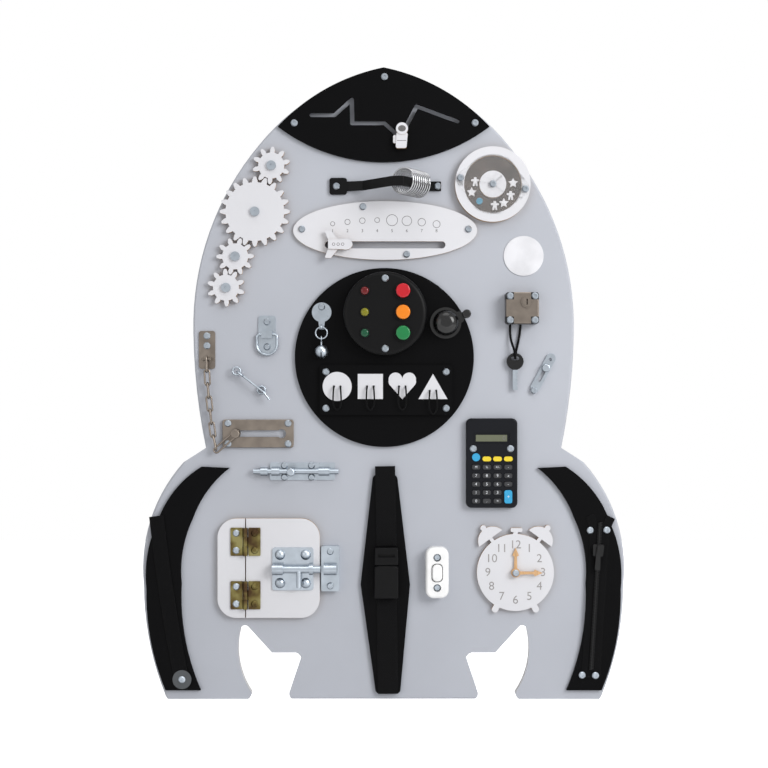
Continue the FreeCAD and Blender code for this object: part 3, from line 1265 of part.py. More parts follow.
def make_calculator():
    middle = place("calculator")
    body = plate("calculator_case", oblong(middle, size("calculator_width"), size("calculator_height"), 6), BOARD_FACE,
                 "calculator_thick")
    round_front(body, BOARD_FACE + " + calculator_thick", "1.8")
    x, z = middle
    front = BOARD_FACE + " + calculator_thick"
    wells = [edge for outline in calculator_keys(size("key_play")) for edge in outline]
    pocket(body, front, "3", wells)
    pocket(body, front, "1", oblong((x - 0.4, z + 27.6), 40, 12, 1.5))
    pocket(body, front, "calculator_thick", screw_holes(CALCULATOR_SCREWS))
    pad(body, front + " - 1", "0.4", oblong((x - 0.4, z + 27.6), 35, 7.8))
    keys = new_body("calculator_keys")
    for outline in calculator_keys():
        pad(keys, front + " - 1.9", "1.9 + key_proud", outline)


# Cupboard lock with its key on a cord

def make_lock():
    x, z = place("lock")
    body = plate("lock_body", oblong((x, z), size("lock_width"), size("lock_height"), 3), BOARD_FACE, "lock_thick")
    round_front(body, BOARD_FACE + " + lock_thick", "1.5")
    plug_x, plug_z = place("lock_plug")
    front = BOARD_FACE + " + lock_thick"
    pad(body, front, "2", circle((plug_x, plug_z), size("plug_radius") + 1.6))
    pocket(body, front + " + 2", "12", circle((plug_x, plug_z), size("plug_radius") + size("bolt_play")))
    pocket(body, front, "lock_thick", screw_holes(LOCK_SCREWS))
    plug = plate("lock_plug", circle((plug_x, plug_z), size("plug_radius")), front + " - 9.8", "12")
    pocket(plug, front + " + 2.2", "6", oblong((plug_x, plug_z), 1.8, 6.6))


# The cord comes out below the lock, goes through the hole of the key and back up behind it.
KEY_CORD = [(139.9, 12.4, 64.4), (139.6, 12.8, 56), (140.6, 14.4, 47), (143, 16.8, 39.6), (144.8, 17.6, 33.6),
            (145.2, 17.5, 27.2), (145.6, 11.6, 27), (146.2, 11.6, 33.4), (148.4, 11.8, 43), (150.6, 12.2, 54),
            (151.4, 12.4, 64.4)]


def cord_through(points):
    """A cord's tube along points given as X, depth and Z, each bend as wide as its runs allow."""
    route = [at(*point) for point in points]
    edges, here = [], route[0]
    for index in range(1, len(route) - 1):
        corner = route[index]
        back, ahead = route[index - 1] - corner, route[index + 1] - corner
        half = back.getAngle(ahead) / 2
        run = min(back.Length, ahead.Length)
        reach = 0.45 * run
        bend = reach * math.tan(half)
        print("cord bend %d: radius %.1f mm" % (index, bend))
        back.normalize()
        ahead.normalize()
        nearest = corner + (back + ahead).normalize() * (bend / math.sin(half) - bend)
        edges.append(Part.LineSegment(here, corner + back * reach).toShape())
        edges.append(Part.Arc(corner + back * reach, nearest, corner + ahead * reach).toShape())
        here = corner + ahead * reach
    edges.append(Part.LineSegment(here, route[-1]).toShape())
    path = Part.Wire(edges)
    diameter = size("cord_diameter")
    solid = tube(path, diameter)
    print("cord: length %.1f mm, volume against section times length %.4f"
          % (path.Length, solid.Volume / (path.Length * math.pi * diameter ** 2 / 4)))
    return solid


def make_key():
    shaped("key_cord", cord_through(KEY_CORD))
    x, z = place("key_bow")
    back = BOARD_FACE + " + 3.4"
    body = new_body("door_key")
    pad(body, back, "key_thick", circle((x, z), size("key_bow_radius")))
    blade = z - size("key_bow_radius")
    pad(body, back, "key_thick", oblong((x, blade - size("key_blade_length") / 2 + 2), 5.6, size("key_blade_length") + 4))
    pocket(body, back + " + key_thick", "key_thick", oblong((x, z + 3.4), 9, 4, 1.9))
    notches = [edge for step in range(4) for edge in polygon([(x + 2.8, blade - 4 - 4 * step), (x + 2.8, blade - 7 - 4 * step),
                                                               (x + 1.5, blade - 5.5 - 4 * step)])]
    pocket(body, back + " + key_thick", "key_thick", notches)


# Fin trims and the buckle strap

def zip_frame():
    """Middle of the zip, and its lean from upright in degrees."""
    (top_x, top_z), (low_x, low_z) = place("zip_top"), place("zip_end")
    lean = math.degrees(math.atan2(top_x - low_x, top_z - low_z))
    return ((top_x + low_x) / 2, (top_z + low_z) / 2), lean, math.hypot(top_x - low_x, top_z - low_z)


def make_zip():
    middle, lean, length = zip_frame()
    half, wide = length / 2, size("zip_width") / 2

    def spot(across, up):
        return turned(middle, (across, up), -lean)

    tape = [spot(-wide, -half - 10), spot(wide - 3, -half - 10), spot(wide + 3, half - 12), spot(wide + 5, half + 14),
            spot(wide - 8, half + 2), spot(-wide + 8, half + 2), spot(-wide - 5, half + 14), spot(-wide - 1, half - 12)]
    body = plate("zip_tape", polygon(tape), PANEL_FACE, "tape_thick", screw_holes(ZIP_SCREWS))
    teeth_half = size("zip_teeth_width") / 2
    pad(body, PANEL_FACE, "tape_thick + zip_teeth_thick", polygon([spot(-teeth_half, -half), spot(teeth_half, -half),
                                                                   spot(teeth_half, half), spot(-teeth_half, half)]))
    slider = new_body("zip_slider")
    x, z = place("zip_slider")
    front = PANEL_FACE + " + tape_thick + zip_teeth_thick"

    def near(across, up):
        return turned((x, z), (across, up), -lean)

    pad(slider, front + " + 0.6", "1.6", rounded([near(-5.4, -7), near(5.4, -7), near(6.2, 6), near(-6.2, 6)], 1.6))
    pad(slider, front + " + 0.6", "4.6", rounded([near(-1.6, -3), near(1.6, -3), near(1.6, 5), near(-1.6, 5)], 0.8))
    pad(slider, front + " + 2.6", "1.6", rounded([near(-3, -22), near(3, -22), near(2.2, 1), near(-2.2, 1)], 1))


def velcro_line():
    (x, z), (low_x, low_z) = place("velcro_top"), place("velcro_end")
    return (x, z), (low_x, low_z)


def make_velcro():
    """Curved fabric strap down the left fin, with a pointed upper corner and a screwed lower end."""
    (x, z), (low_x, low_z) = velcro_line()
    half = size("velcro_width") / 2
    sweep = -2
    outline = trace((x - half, z - 4), [(low_x - half, low_z, sweep), (low_x + half, low_z, half),
                                        (x + half, z - 1, -sweep), (x + half - 4, z + 4), (x - half, z - 4)])
    plate("velcro_strap", outline, PANEL_FACE, "velcro_thick", screw_holes(VELCRO_SCREWS))


def make_strap():
    (x, top), (low_x, low) = place("strap_top"), place("strap_end")
    bx, bz = place("buckle")
    half, buckle = size("webbing_width") / 2, size("buckle_height") / 2
    webbing = new_body("upper_webbing")
    pad(webbing, PANEL_FACE, "webbing_thick", polygon([(x - half, top + 6), (x + half, top + 6),
                                                       (bx + half - 1, bz + buckle + 0.4), (bx - half + 1, bz + buckle + 0.4)]))
    lower = new_body("lower_webbing")
    pad(lower, PANEL_FACE, "webbing_thick", polygon([(bx - half, bz - buckle + 4), (bx + half, bz - buckle + 4),
                                                     (low_x + half, low + 1), (low_x - half, low + 1)]))


def gather_screws():
    """Every screw that stays still, with the depth that its head sits on."""
    fixed, _ = hinge_screws()
    foot = [(place("handle_foot")[0] + 8, place("handle_foot")[1])]
    seats = [
        (NOSE_SCREWS + PLANET_SCREWS, PANEL_FACE),
        (SORTER_SCREWS, PANEL_FACE + " + sorter_thick"),
        (LAMP_SCREWS, PANEL_FACE + " + lamp_height"),
        (CHARM_SCREWS, PANEL_FACE + " + sheet_thick"),
        (ANCHOR_SCREWS + RING_PLATE_SCREWS + BOLT_BASE_SCREWS, BOARD_FACE + " + sheet_thick"),
        (RAIL_PLATE_SCREWS, BOARD_FACE + " + rail_plate_thick"),
        (PORT_SCREWS + [place("port")], BOARD_FACE + " + port_thick + port_glass_thick"),
        (LOCK_SCREWS, BOARD_FACE + " + lock_thick"),
        (LATCH_SCREWS, BOARD_FACE + " + sheet_thick + 1"),
        (KEEPER_SCREWS, BOARD_FACE + " + door_thick + 1.6"),
        (SWITCH_SCREWS, BOARD_FACE + " + switch_thick - 4"),
        (CALCULATOR_SCREWS, BOARD_FACE + " + calculator_thick"),
        (ZIP_SCREWS, PANEL_FACE + " + tape_thick"),
        (VELCRO_SCREWS, PANEL_FACE + " + velcro_thick"),
        (HANDLE_SCREWS + foot, BOARD_FACE + " + handle_bar_thick"),
        ([place("clock")], BOARD_FACE + " + clock_thick + 2 + 2 + 0.4 + 0.4 + 0.3"),
        (fixed, BOARD_FACE + " + door_thick + 1.4"),
    ]
    for middles, seat in seats:
        FIXED_SCREWS.extend((x, z, worth(seat)) for x, z in middles)


def make_screws():
    shaped("board_screws", Part.makeCompound([screw(x, z, seat) for x, z, seat in FIXED_SCREWS]))
    _, moving = hinge_screws()
    seat = worth(BOARD_FACE + " + door_thick + 1.4")
    base = worth(BOARD_FACE + " + 0.6")
    cut_off = Part.makeBox(size("board_height"), base, size("board_height"), Vector(-size("board_height") / 2, -base, -size("board_height") / 2))
    screws = [screw(x, z, seat).cut(cut_off) for x, z in moving]
    head, low = 6.4, worth(BOARD_FACE + " + door_thick + 1.6")
    for x, z in door_bolt_screws():
        dome = Part.makeSphere(head, at(x, low - head + 3.6, z))
        front = Part.makeBox(20, 20, 20, at(x - 10, low + 20, z - 10))
        shank = pin((x, z), base, size("screw_shank_radius"), low - base)
        screws.append(dome.common(front).fuse(shank).removeSplitter())
    shaped("door_screws", Part.makeCompound(screws))


def make_buckle():
    """Side-release buckle: the socket holds still, the plug with its prongs slides out of it."""
    x, z = place("buckle")
    half, tall, thick = size("buckle_width") / 2, size("buckle_height"), size("buckle_thick")
    back = PANEL_FACE + " + webbing_thick + 0.3"
    joint = z + 8
    low = z - tall / 2
    socket = new_body("buckle_socket")
    pad(socket, back, "buckle_thick", rounded([(x - half, low), (x + half, low), (x + half, joint - 2), (x + half - 3, joint),
                                               (x - half + 3, joint), (x - half, joint - 2)], 1.5))
    round_front(socket, back + " + buckle_thick", "1.6")
    room = oblong((x, -worth(back) - thick / 2), 2 * half - 5, 4.6)
    pocket(socket, "0 - %g" % -(joint + 1), "26", room, "XY_Plane")
    plug = new_body("buckle_plug")
    top = z + tall / 2
    pad(plug, back, "buckle_thick", rounded([(x - half, joint + 0.4), (x + half, joint + 0.4), (x + half - 0.6, top),
                                             (x - half + 0.6, top)], 2))
    round_front(plug, back + " + buckle_thick", "1.6")
    for side in (-1, 0, 1):
        pad(plug, back + " + buckle_thick / 2 - 1.8", "3.6", oblong((x + side * 7.4, joint - 8), 3.6, 20))
    pocket(plug, back + " + buckle_thick", "3", oblong((x, top - 9), 2 * half - 8, 3.4))


# Nodes that hold a group of like pieces, each a solid of its own
GROUPS = {
    "lower_panels": ["left_fin_panel", "right_fin_panel", "strap_panel"],
    "porthole_frame": ["porthole_ring", "porthole_mirror"],
    "lamp_body": ["lamp_casing", "lamp_lenses"],
    "bell_body": ["bell_base", "bell_dome"],
    "zinc_fittings": ["wall_hangers", "charm_anchor", "charm_eye", "ring_plate", "screw_eyes", "slide_latch",
                      "tower_bolt_base", "tower_bolt_keeper"],
    "hinge_and_chain_plates": ["chain_anchor", "chain_rail", "bolt_keeper", "hinge_fixed_leaves"],
    "strap_webbing": ["upper_webbing", "lower_webbing"],
    "fixed_screws": ["board_screws", "gear_axles"],
    "door_plates": ["hinge_moving_leaves", "door_screws"],
}


def group_nodes():
    """Gather the pieces of each group into one node."""
    for label, members in GROUPS.items():
        group = doc.addObject("Part::Compound", label)
        group.Links = [node for node in NODES if node.Label in members]
        for node in group.Links:
            NODES.remove(node)
        NODES.append(group)


def check_and_export():
    """Stop at the first faulty feature or shape, then write one STEP file for each node."""
    doc.recompute()
    for thing in doc.Objects:
        if "Invalid" in thing.State or "Error" in thing.State:
            raise RuntimeError("%s failed: %s" % (thing.Name, thing.State))
    os.makedirs("parts", exist_ok=True)
    for node in NODES:
        if node.Shape.isNull() or not node.Shape.isValid():
            raise RuntimeError("%s has no valid shape" % node.Label)
        node.Shape.exportStep("parts/%s.step" % node.Label)
    print("%d nodes" % len(NODES))


def main():
    gather_screws()
    make_board()
    make_hangers()
    make_nose_panel()
    make_planet_panel()
    make_disc_panel()
    make_fin_panel("left_fin_panel", -1)
    make_fin_panel("right_fin_panel", 1)
    make_strap_panel()
    make_gears()
    make_figures()
    make_handle()
    make_spring()
    make_porthole()
    make_lamp()
    make_bell()
    make_charm()
    make_sorter()
    make_shape_loops()
    make_chain()
    make_rail_plate()
    make_ring_plate()
    make_cabin_hook()
    make_tower_bolt()
    make_latch()
    make_door()
    make_hinges()
    make_door_bolt()
    make_switch()
    make_clock()
    make_calculator()
    make_lock()
    make_key()
    make_zip()
    make_velcro()
    make_strap()
    make_buckle()
    make_screws()
    group_nodes()
    check_and_export()


main()
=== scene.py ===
import math
import bpy
import numpy as np
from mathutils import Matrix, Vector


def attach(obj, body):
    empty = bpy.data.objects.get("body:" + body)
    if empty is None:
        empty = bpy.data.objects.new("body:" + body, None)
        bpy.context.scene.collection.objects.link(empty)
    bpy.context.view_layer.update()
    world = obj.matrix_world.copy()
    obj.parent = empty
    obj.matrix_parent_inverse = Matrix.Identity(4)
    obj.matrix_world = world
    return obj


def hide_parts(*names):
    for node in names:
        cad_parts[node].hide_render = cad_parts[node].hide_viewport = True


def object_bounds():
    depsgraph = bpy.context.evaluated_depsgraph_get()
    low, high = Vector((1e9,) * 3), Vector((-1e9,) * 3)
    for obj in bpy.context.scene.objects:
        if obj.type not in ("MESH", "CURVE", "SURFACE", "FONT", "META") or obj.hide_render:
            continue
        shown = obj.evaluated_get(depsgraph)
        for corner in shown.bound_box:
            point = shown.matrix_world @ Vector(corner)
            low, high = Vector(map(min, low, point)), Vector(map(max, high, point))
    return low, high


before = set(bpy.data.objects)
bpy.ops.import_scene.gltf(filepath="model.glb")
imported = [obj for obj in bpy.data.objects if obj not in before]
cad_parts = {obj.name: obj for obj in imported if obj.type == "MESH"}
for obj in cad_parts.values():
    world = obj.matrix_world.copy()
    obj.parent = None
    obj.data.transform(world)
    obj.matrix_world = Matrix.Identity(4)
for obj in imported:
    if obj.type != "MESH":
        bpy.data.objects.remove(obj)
CAD_BOX = [list(map(float, corner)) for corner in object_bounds()]

bl_info = {
    "name": "Rocket busy board",
    "version": (1, 0, 0),
    "blender": (4, 5, 0),
    "location": "3D View > Sidebar > Busy board",
    "description": "Paint, plywood, fittings, straps and cords of a rocket-shaped busy board",
    "category": "Object",
}

MM = 0.001

# Depths in front of the wall, in millimetres
BOARD_FRONT = 10.0
PORT_BACK = 10.82
PANEL_FRONT = 14.0
LOOP_START = 15.0
CLOCK_FRONT = 15.0
FIN_STRAP_FRONT = 16.2
DISPLAY_FRONT = 17.42
SHAPE_FRONT = 19.2
KEY_FRONT = 19.4
FIGURE_BELT_FRONT = 21.4
FIGURE_FRONT = 22.2
LAMP_HEIGHT = 20

# Places of the pieces on the board, X and Z in millimetres
PORT = (120.4, 219.3)
BADGE = (155.0, 140.7)
PLANET = (1.7, 168.5)
LAMP = (1.8, 76.0)
LOCK = (152.3, 82.3)
CLOCK = (145.6, -209.2)
CALCULATOR = (119.3, -88.4)
FIGURE = (18.2, 271.4)
SHIP = (-50.0, 152.6)
STRAP_TOP = (1.6, -97.5)
STRAP_END = (4.9, -344.5)
BUCKLE = (3.2, -208.7)
FIN_STRAP_TOP = (-251.0, -147.0)
FIN_STRAP_END = (-222.5, -327.2)
ZIP_TOP = (239.2, -153.2)
ZIP_END = (229.2, -316.7)
UPPER_STRAP = ((STRAP_TOP[0], STRAP_TOP[1] + 5.6), (BUCKLE[0], BUCKLE[1] + 28.4))
LOWER_STRAP = ((BUCKLE[0], BUCKLE[1] - 24.2), (STRAP_END[0], STRAP_END[1] + 1.4))
SHAPE_SPOTS = {
    "disc": (-51.1, -3.8),
    "square": (-14.6, -3.8),
    "heart": (20.6, -3.8),
    "triangle": (54.4, -8.5),
}
LENS_COLUMN = -22.4
LENS_ROWS = {"led_red": 24.7, "led_yellow": 1.4, "led_green": -21.3}
CALCULATOR_COLUMNS = (-17.4, -5.6, 6.2, 18.1)
CALCULATOR_ROWS = (-4.3, -13.7, -23.0, -32.3, -41.6)

# Where a node changes its material, in millimetres
LOCK_BLOCK = 9.4
KEY_BOW_LOW = 14.5
HINGES_TOP = -120.0
HINGES_RIGHT = -125.0
BEAD = (PORT[0] - 14.6, PORT[1] - 18.4)
BEAD_REACH = 3.9
TOP_KEYS_LOW = CALCULATOR[1] + 1
ROUND_KEY_RIGHT = CALCULATOR[0] - 11.5
TALL_KEY_LEFT = CALCULATOR[0] + 12.2
TALL_KEY_TOP = CALCULATOR[1] - 28

# Sizes of trim, in millimetres
MARK_THICK = 0.06
LETTER_SIZE = 1.35  # a font's size over the height of its numbers
WEBBING_RIPPLE = 0.2
WEBBING_SLACK = 0.3  # room in depth that the ripple takes from the webbing
FIN_STRAP_RIPPLE = 0.25
FIN_STRAP_BOW = -2
FIN_STRAP_THICK = 1.9
TAPE_WIDTH = 10.1
TAPE_THICK = 0.8
TAPE_OUT = 5.5  # from the zip's middle line to the tape's
TAPE_LEAN = 0.8
TAPE_PARTING = 5.5
TOOTH_PITCH = 1.7
TOOTH_OUT = 0.9
TOOTH_RISE = 1.5
TOOTH_HALF = (1.5, 0.9, 0.36)  # across, in depth and along the zip

# Strength of the surroundings as the board sees them, where the camera sees one
ROOM_LIGHT = 0.42

# Route of the key's cord: X, depth and Z
KEY_CORD_ROUTE = [
    (139.9, 12.4, 64.4), (139.6, 12.8, 56), (140.6, 14.4, 47), (143, 16.8, 39.6),
    (144.8, 17.6, 33.6), (145.2, 17.5, 27.2), (145.6, 11.6, 27), (146.2, 11.6, 33.4),
    (148.4, 11.8, 43), (150.6, 12.2, 54), (151.4, 12.4, 64.4),
]


def linear(colour):
    """A colour given as three bytes of sRGB, as linear numbers with full cover."""
    shares = np.array(colour, dtype=float) / 255
    low = shares / 12.92
    high = ((shares + 0.055) / 1.055) ** 2.4
    return tuple(float(share) for share in np.where(shares <= 0.04045, low, high)) + (1.0,)


def at(x, depth, z):
    """The point at X, Z and a depth in front of the wall, in metres."""
    return np.array((x, -depth, z)) * MM


# Sizes and colours that a user would change

class BoardLooks(bpy.types.PropertyGroup):
    """Colours of the painted and moulded pieces."""
    board_grey: bpy.props.FloatVectorProperty(
        name="Board grey", description="Paint of the board's face",
        subtype="COLOR", size=4, default=linear((172, 175, 183)))
    white_paint: bpy.props.FloatVectorProperty(
        name="White paint", description="Paint of the plywood pieces",
        subtype="COLOR", size=4, default=linear((208, 208, 212)))
    black_paint: bpy.props.FloatVectorProperty(
        name="Black paint", description="Paint of the black panels",
        subtype="COLOR", size=4, default=linear((3, 3, 4)))
    ink: bpy.props.FloatVectorProperty(
        name="Engraving", description="Colour of engraved numbers and lines",
        subtype="COLOR", size=4, default=linear((96, 94, 94)))


class SoftSizes(bpy.types.PropertyGroup):
    """Widths and thicknesses of the straps and cords, in metres."""
    webbing_width: bpy.props.FloatProperty(
        name="Webbing width", description="Width of the buckle strap", default=0.0222, unit="LENGTH")
    webbing_thick: bpy.props.FloatProperty(
        name="Webbing thickness", description="Room in depth for the buckle strap and its ripple",
        default=0.0018, unit="LENGTH")
    fin_strap_width: bpy.props.FloatProperty(
        name="Fabric strap width", description="Width of the strap on the left fin",
        default=0.016, unit="LENGTH")
    loop_cord: bpy.props.FloatProperty(
        name="Loop cord", description="Diameter of the cord loops on the shapes",
        default=0.0018, unit="LENGTH")
    key_cord: bpy.props.FloatProperty(
        name="Key cord", description="Diameter of the cord that holds the key",
        default=0.0026, unit="LENGTH")


# Meshes from arrays

def add_piece(name, vertices, faces, material, body, smooth=True):
    """A mesh object from arrays of points in metres and faces, which rides on a body."""
    mesh = bpy.data.meshes.new(name)
    mesh.from_pydata(np.asarray(vertices, dtype=float).tolist(), [], [tuple(face) for face in faces])
    mesh.materials.append(material)
    mesh.polygons.foreach_set("use_smooth", np.full(len(mesh.polygons), smooth))
    mesh.validate()
    mesh.update()
    piece = bpy.data.objects.new(name, mesh)
    bpy.context.scene.collection.objects.link(piece)
    if body:
        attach(piece, body)
    return piece


def tube_faces(rings, sides):
    """Quads between a tube's neighbouring rings, and a fan over each end.

    Side j of ring i is point i * sides + j, and the two points after the last ring are the fans' middles.
    """
    ring, side = np.meshgrid(np.arange(rings - 1), np.arange(sides), indexing="ij")
    after = (side + 1) % sides
    here, there = ring * sides, (ring + 1) * sides
    quads = np.stack([here + side, here + after, there + after, there + side], axis=-1).reshape(-1, 4)
    first, last = rings * sides, rings * sides + 1
    edge = np.arange(sides)
    near = np.stack([np.full(sides, first), (edge + 1) % sides, edge], axis=-1)
    base = (rings - 1) * sides
    far = np.stack([np.full(sides, last), base + edge, base + (edge + 1) % sides], axis=-1)
    return quads.tolist() + near.tolist() + far.tolist()


def carried(line, across, forward, section):
    """A section (a, b) carried along a line: point(i, j) = line_i + a_j across_i + b_j forward_i."""
    points = (line[:, None, :] + section[None, :, 0, None] * across[:, None, :]
              + section[None, :, 1, None] * forward[:, None, :])
    rings, sides = points.shape[:2]
    centres = points[[0, -1]].mean(axis=1)
    return np.concatenate([points.reshape(-1, 3), centres]), tube_faces(rings, sides)


def flat_section(width, thick, sides=28):
    """A flat strap's section with round edges, resting on its lower side.

    a = w/2 sgn(cos t) |cos t|^0.3 and b = h/2 (1 + sgn(sin t) |sin t|^0.5).
    """
    turn = np.linspace(0, 2 * math.pi, sides, endpoint=False)
    a = width / 2 * np.sign(np.cos(turn)) * np.abs(np.cos(turn)) ** 0.3
    b = thick / 2 * (1 + np.sign(np.sin(turn)) * np.abs(np.sin(turn)) ** 0.5)
    return np.stack([a, b], axis=-1)


def strap(name, line, width, thick, material, body):
    """A flat strap along a line on the board: its width lies in the board's plane, square to the line."""
    along = np.gradient(line, axis=0)
    along /= np.linalg.norm(along, axis=1)[:, None]
    forward = np.tile(np.array((0.0, -1.0, 0.0)), (len(line), 1))
    across = np.cross(forward, along)
    across /= np.linalg.norm(across, axis=1)[:, None]
    vertices, faces = carried(line, across, forward, flat_section(width, thick))
    return add_piece(name, vertices, faces, material, body)


def laid_strap(name, line, width, thick, material):
    """A strap that lies on the black panels."""
    piece = strap(name, line, width, thick, material, "board")
    return piece


def turned_piece(name, middle, profile, material, body, sides=64):
    """A turned shape about an axis along Y: point(i, j) = (x + r_i cos t_j, -d_i, z + r_i sin t_j)."""
    turn = np.linspace(0, 2 * math.pi, sides, endpoint=False)
    radius, depth = np.array(profile, dtype=float).T
    points = np.stack([middle[0] + radius[:, None] * np.cos(turn), -depth[:, None] + 0 * turn,
                       middle[1] + radius[:, None] * np.sin(turn)], axis=-1) * MM
    centres = np.array([(middle[0], -depth[0], middle[1]), (middle[0], -depth[-1], middle[1])]) * MM
    vertices = np.concatenate([points.reshape(-1, 3), centres])
    return add_piece(name, vertices, tube_faces(len(profile), sides), material, body)


def flat_shape(outline, depth, thick):
    """Points and faces of a thin plate: its outline at two depths, and a wall between them."""
    outline = np.asarray(outline, dtype=float)
    count = len(outline)
    back = np.stack([outline[:, 0], np.full(count, -depth), outline[:, 1]], axis=-1)
    front = back - np.array((0, thick, 0))
    edge = np.arange(count)
    walls = np.stack([edge, (edge + 1) % count, count + (edge + 1) % count, count + edge], axis=-1).tolist()
    lids = [list(range(count, 2 * count)), list(range(count - 1, -1, -1))]
    return np.concatenate([back, front]) * MM, walls + lids


def joined(shapes):
    """Several (points, faces) pairs as one pair."""
    points, faces, base = [], [], 0
    for vertices, polygons in shapes:
        points.append(vertices)
        faces += [[base + index for index in polygon] for polygon in polygons]
        base += len(vertices)
    return np.concatenate(points), faces


def ring_outline(middle, radius, count, squeeze=1.0):
    """Points round an ellipse: (x + r cos t, z + s r sin t)."""
    turn = np.linspace(0, 2 * math.pi, count, endpoint=False)
    across, up = radius * np.cos(turn), squeeze * radius * np.sin(turn)
    return np.stack([middle[0] + across, middle[1] + up], axis=-1)


def box_outline(left, right, low, high):
    """The four corners of a rectangle."""
    return [(left, low), (right, low), (right, high), (left, high)]


def line_ring(middle, radius, width, depth, thick=MARK_THICK, count=40):
    """Points and faces of a flat engraved ring: four loops, joined as a closed band."""
    outer = ring_outline(middle, radius, count)
    inner = ring_outline(middle, radius - width, count)
    loops = [(outer, depth), (outer, depth + thick), (inner, depth + thick), (inner, depth)]
    points = [np.stack([loop[:, 0], np.full(count, -far), loop[:, 1]], axis=-1) for loop, far in loops]
    ring, side = np.meshgrid(np.arange(4), np.arange(count), indexing="ij")
    here, there, after = ring * count, (ring + 1) % 4 * count, (side + 1) % count
    faces = np.stack([here + side, here + after, there + after, there + side], axis=-1).reshape(-1, 4)
    return np.concatenate(points) * MM, faces.tolist()


def lettering(words, depth, thick=MARK_THICK):
    """Plain numbers and signs as one mesh: each word is (text, x, z, height), in the board's plane."""
    shapes = []
    for text, x, z, height in words:
        curve = bpy.data.curves.new("word", "FONT")
        curve.body = text
        curve.size = height * LETTER_SIZE
        curve.align_x = "CENTER"
        curve.align_y = "CENTER"
        curve.extrude = thick / 2
        holder = bpy.data.objects.new("word", curve)
        bpy.context.scene.collection.objects.link(holder)
        mesh = bpy.data.meshes.new_from_object(holder)
        flat = np.empty(len(mesh.vertices) * 3)
        mesh.vertices.foreach_get("co", flat)
        flat = flat.reshape(-1, 3)
        far = depth + thick / 2 + flat[:, 2]
        points = np.stack([x + flat[:, 0], -far, z + flat[:, 1]], axis=-1) * MM
        shapes.append((points, [list(polygon.vertices) for polygon in mesh.polygons]))
        bpy.data.objects.remove(holder)
        bpy.data.meshes.remove(mesh)
        bpy.data.curves.remove(curve)
    return joined(shapes)


# Materials, each worked out from the object's own coordinates

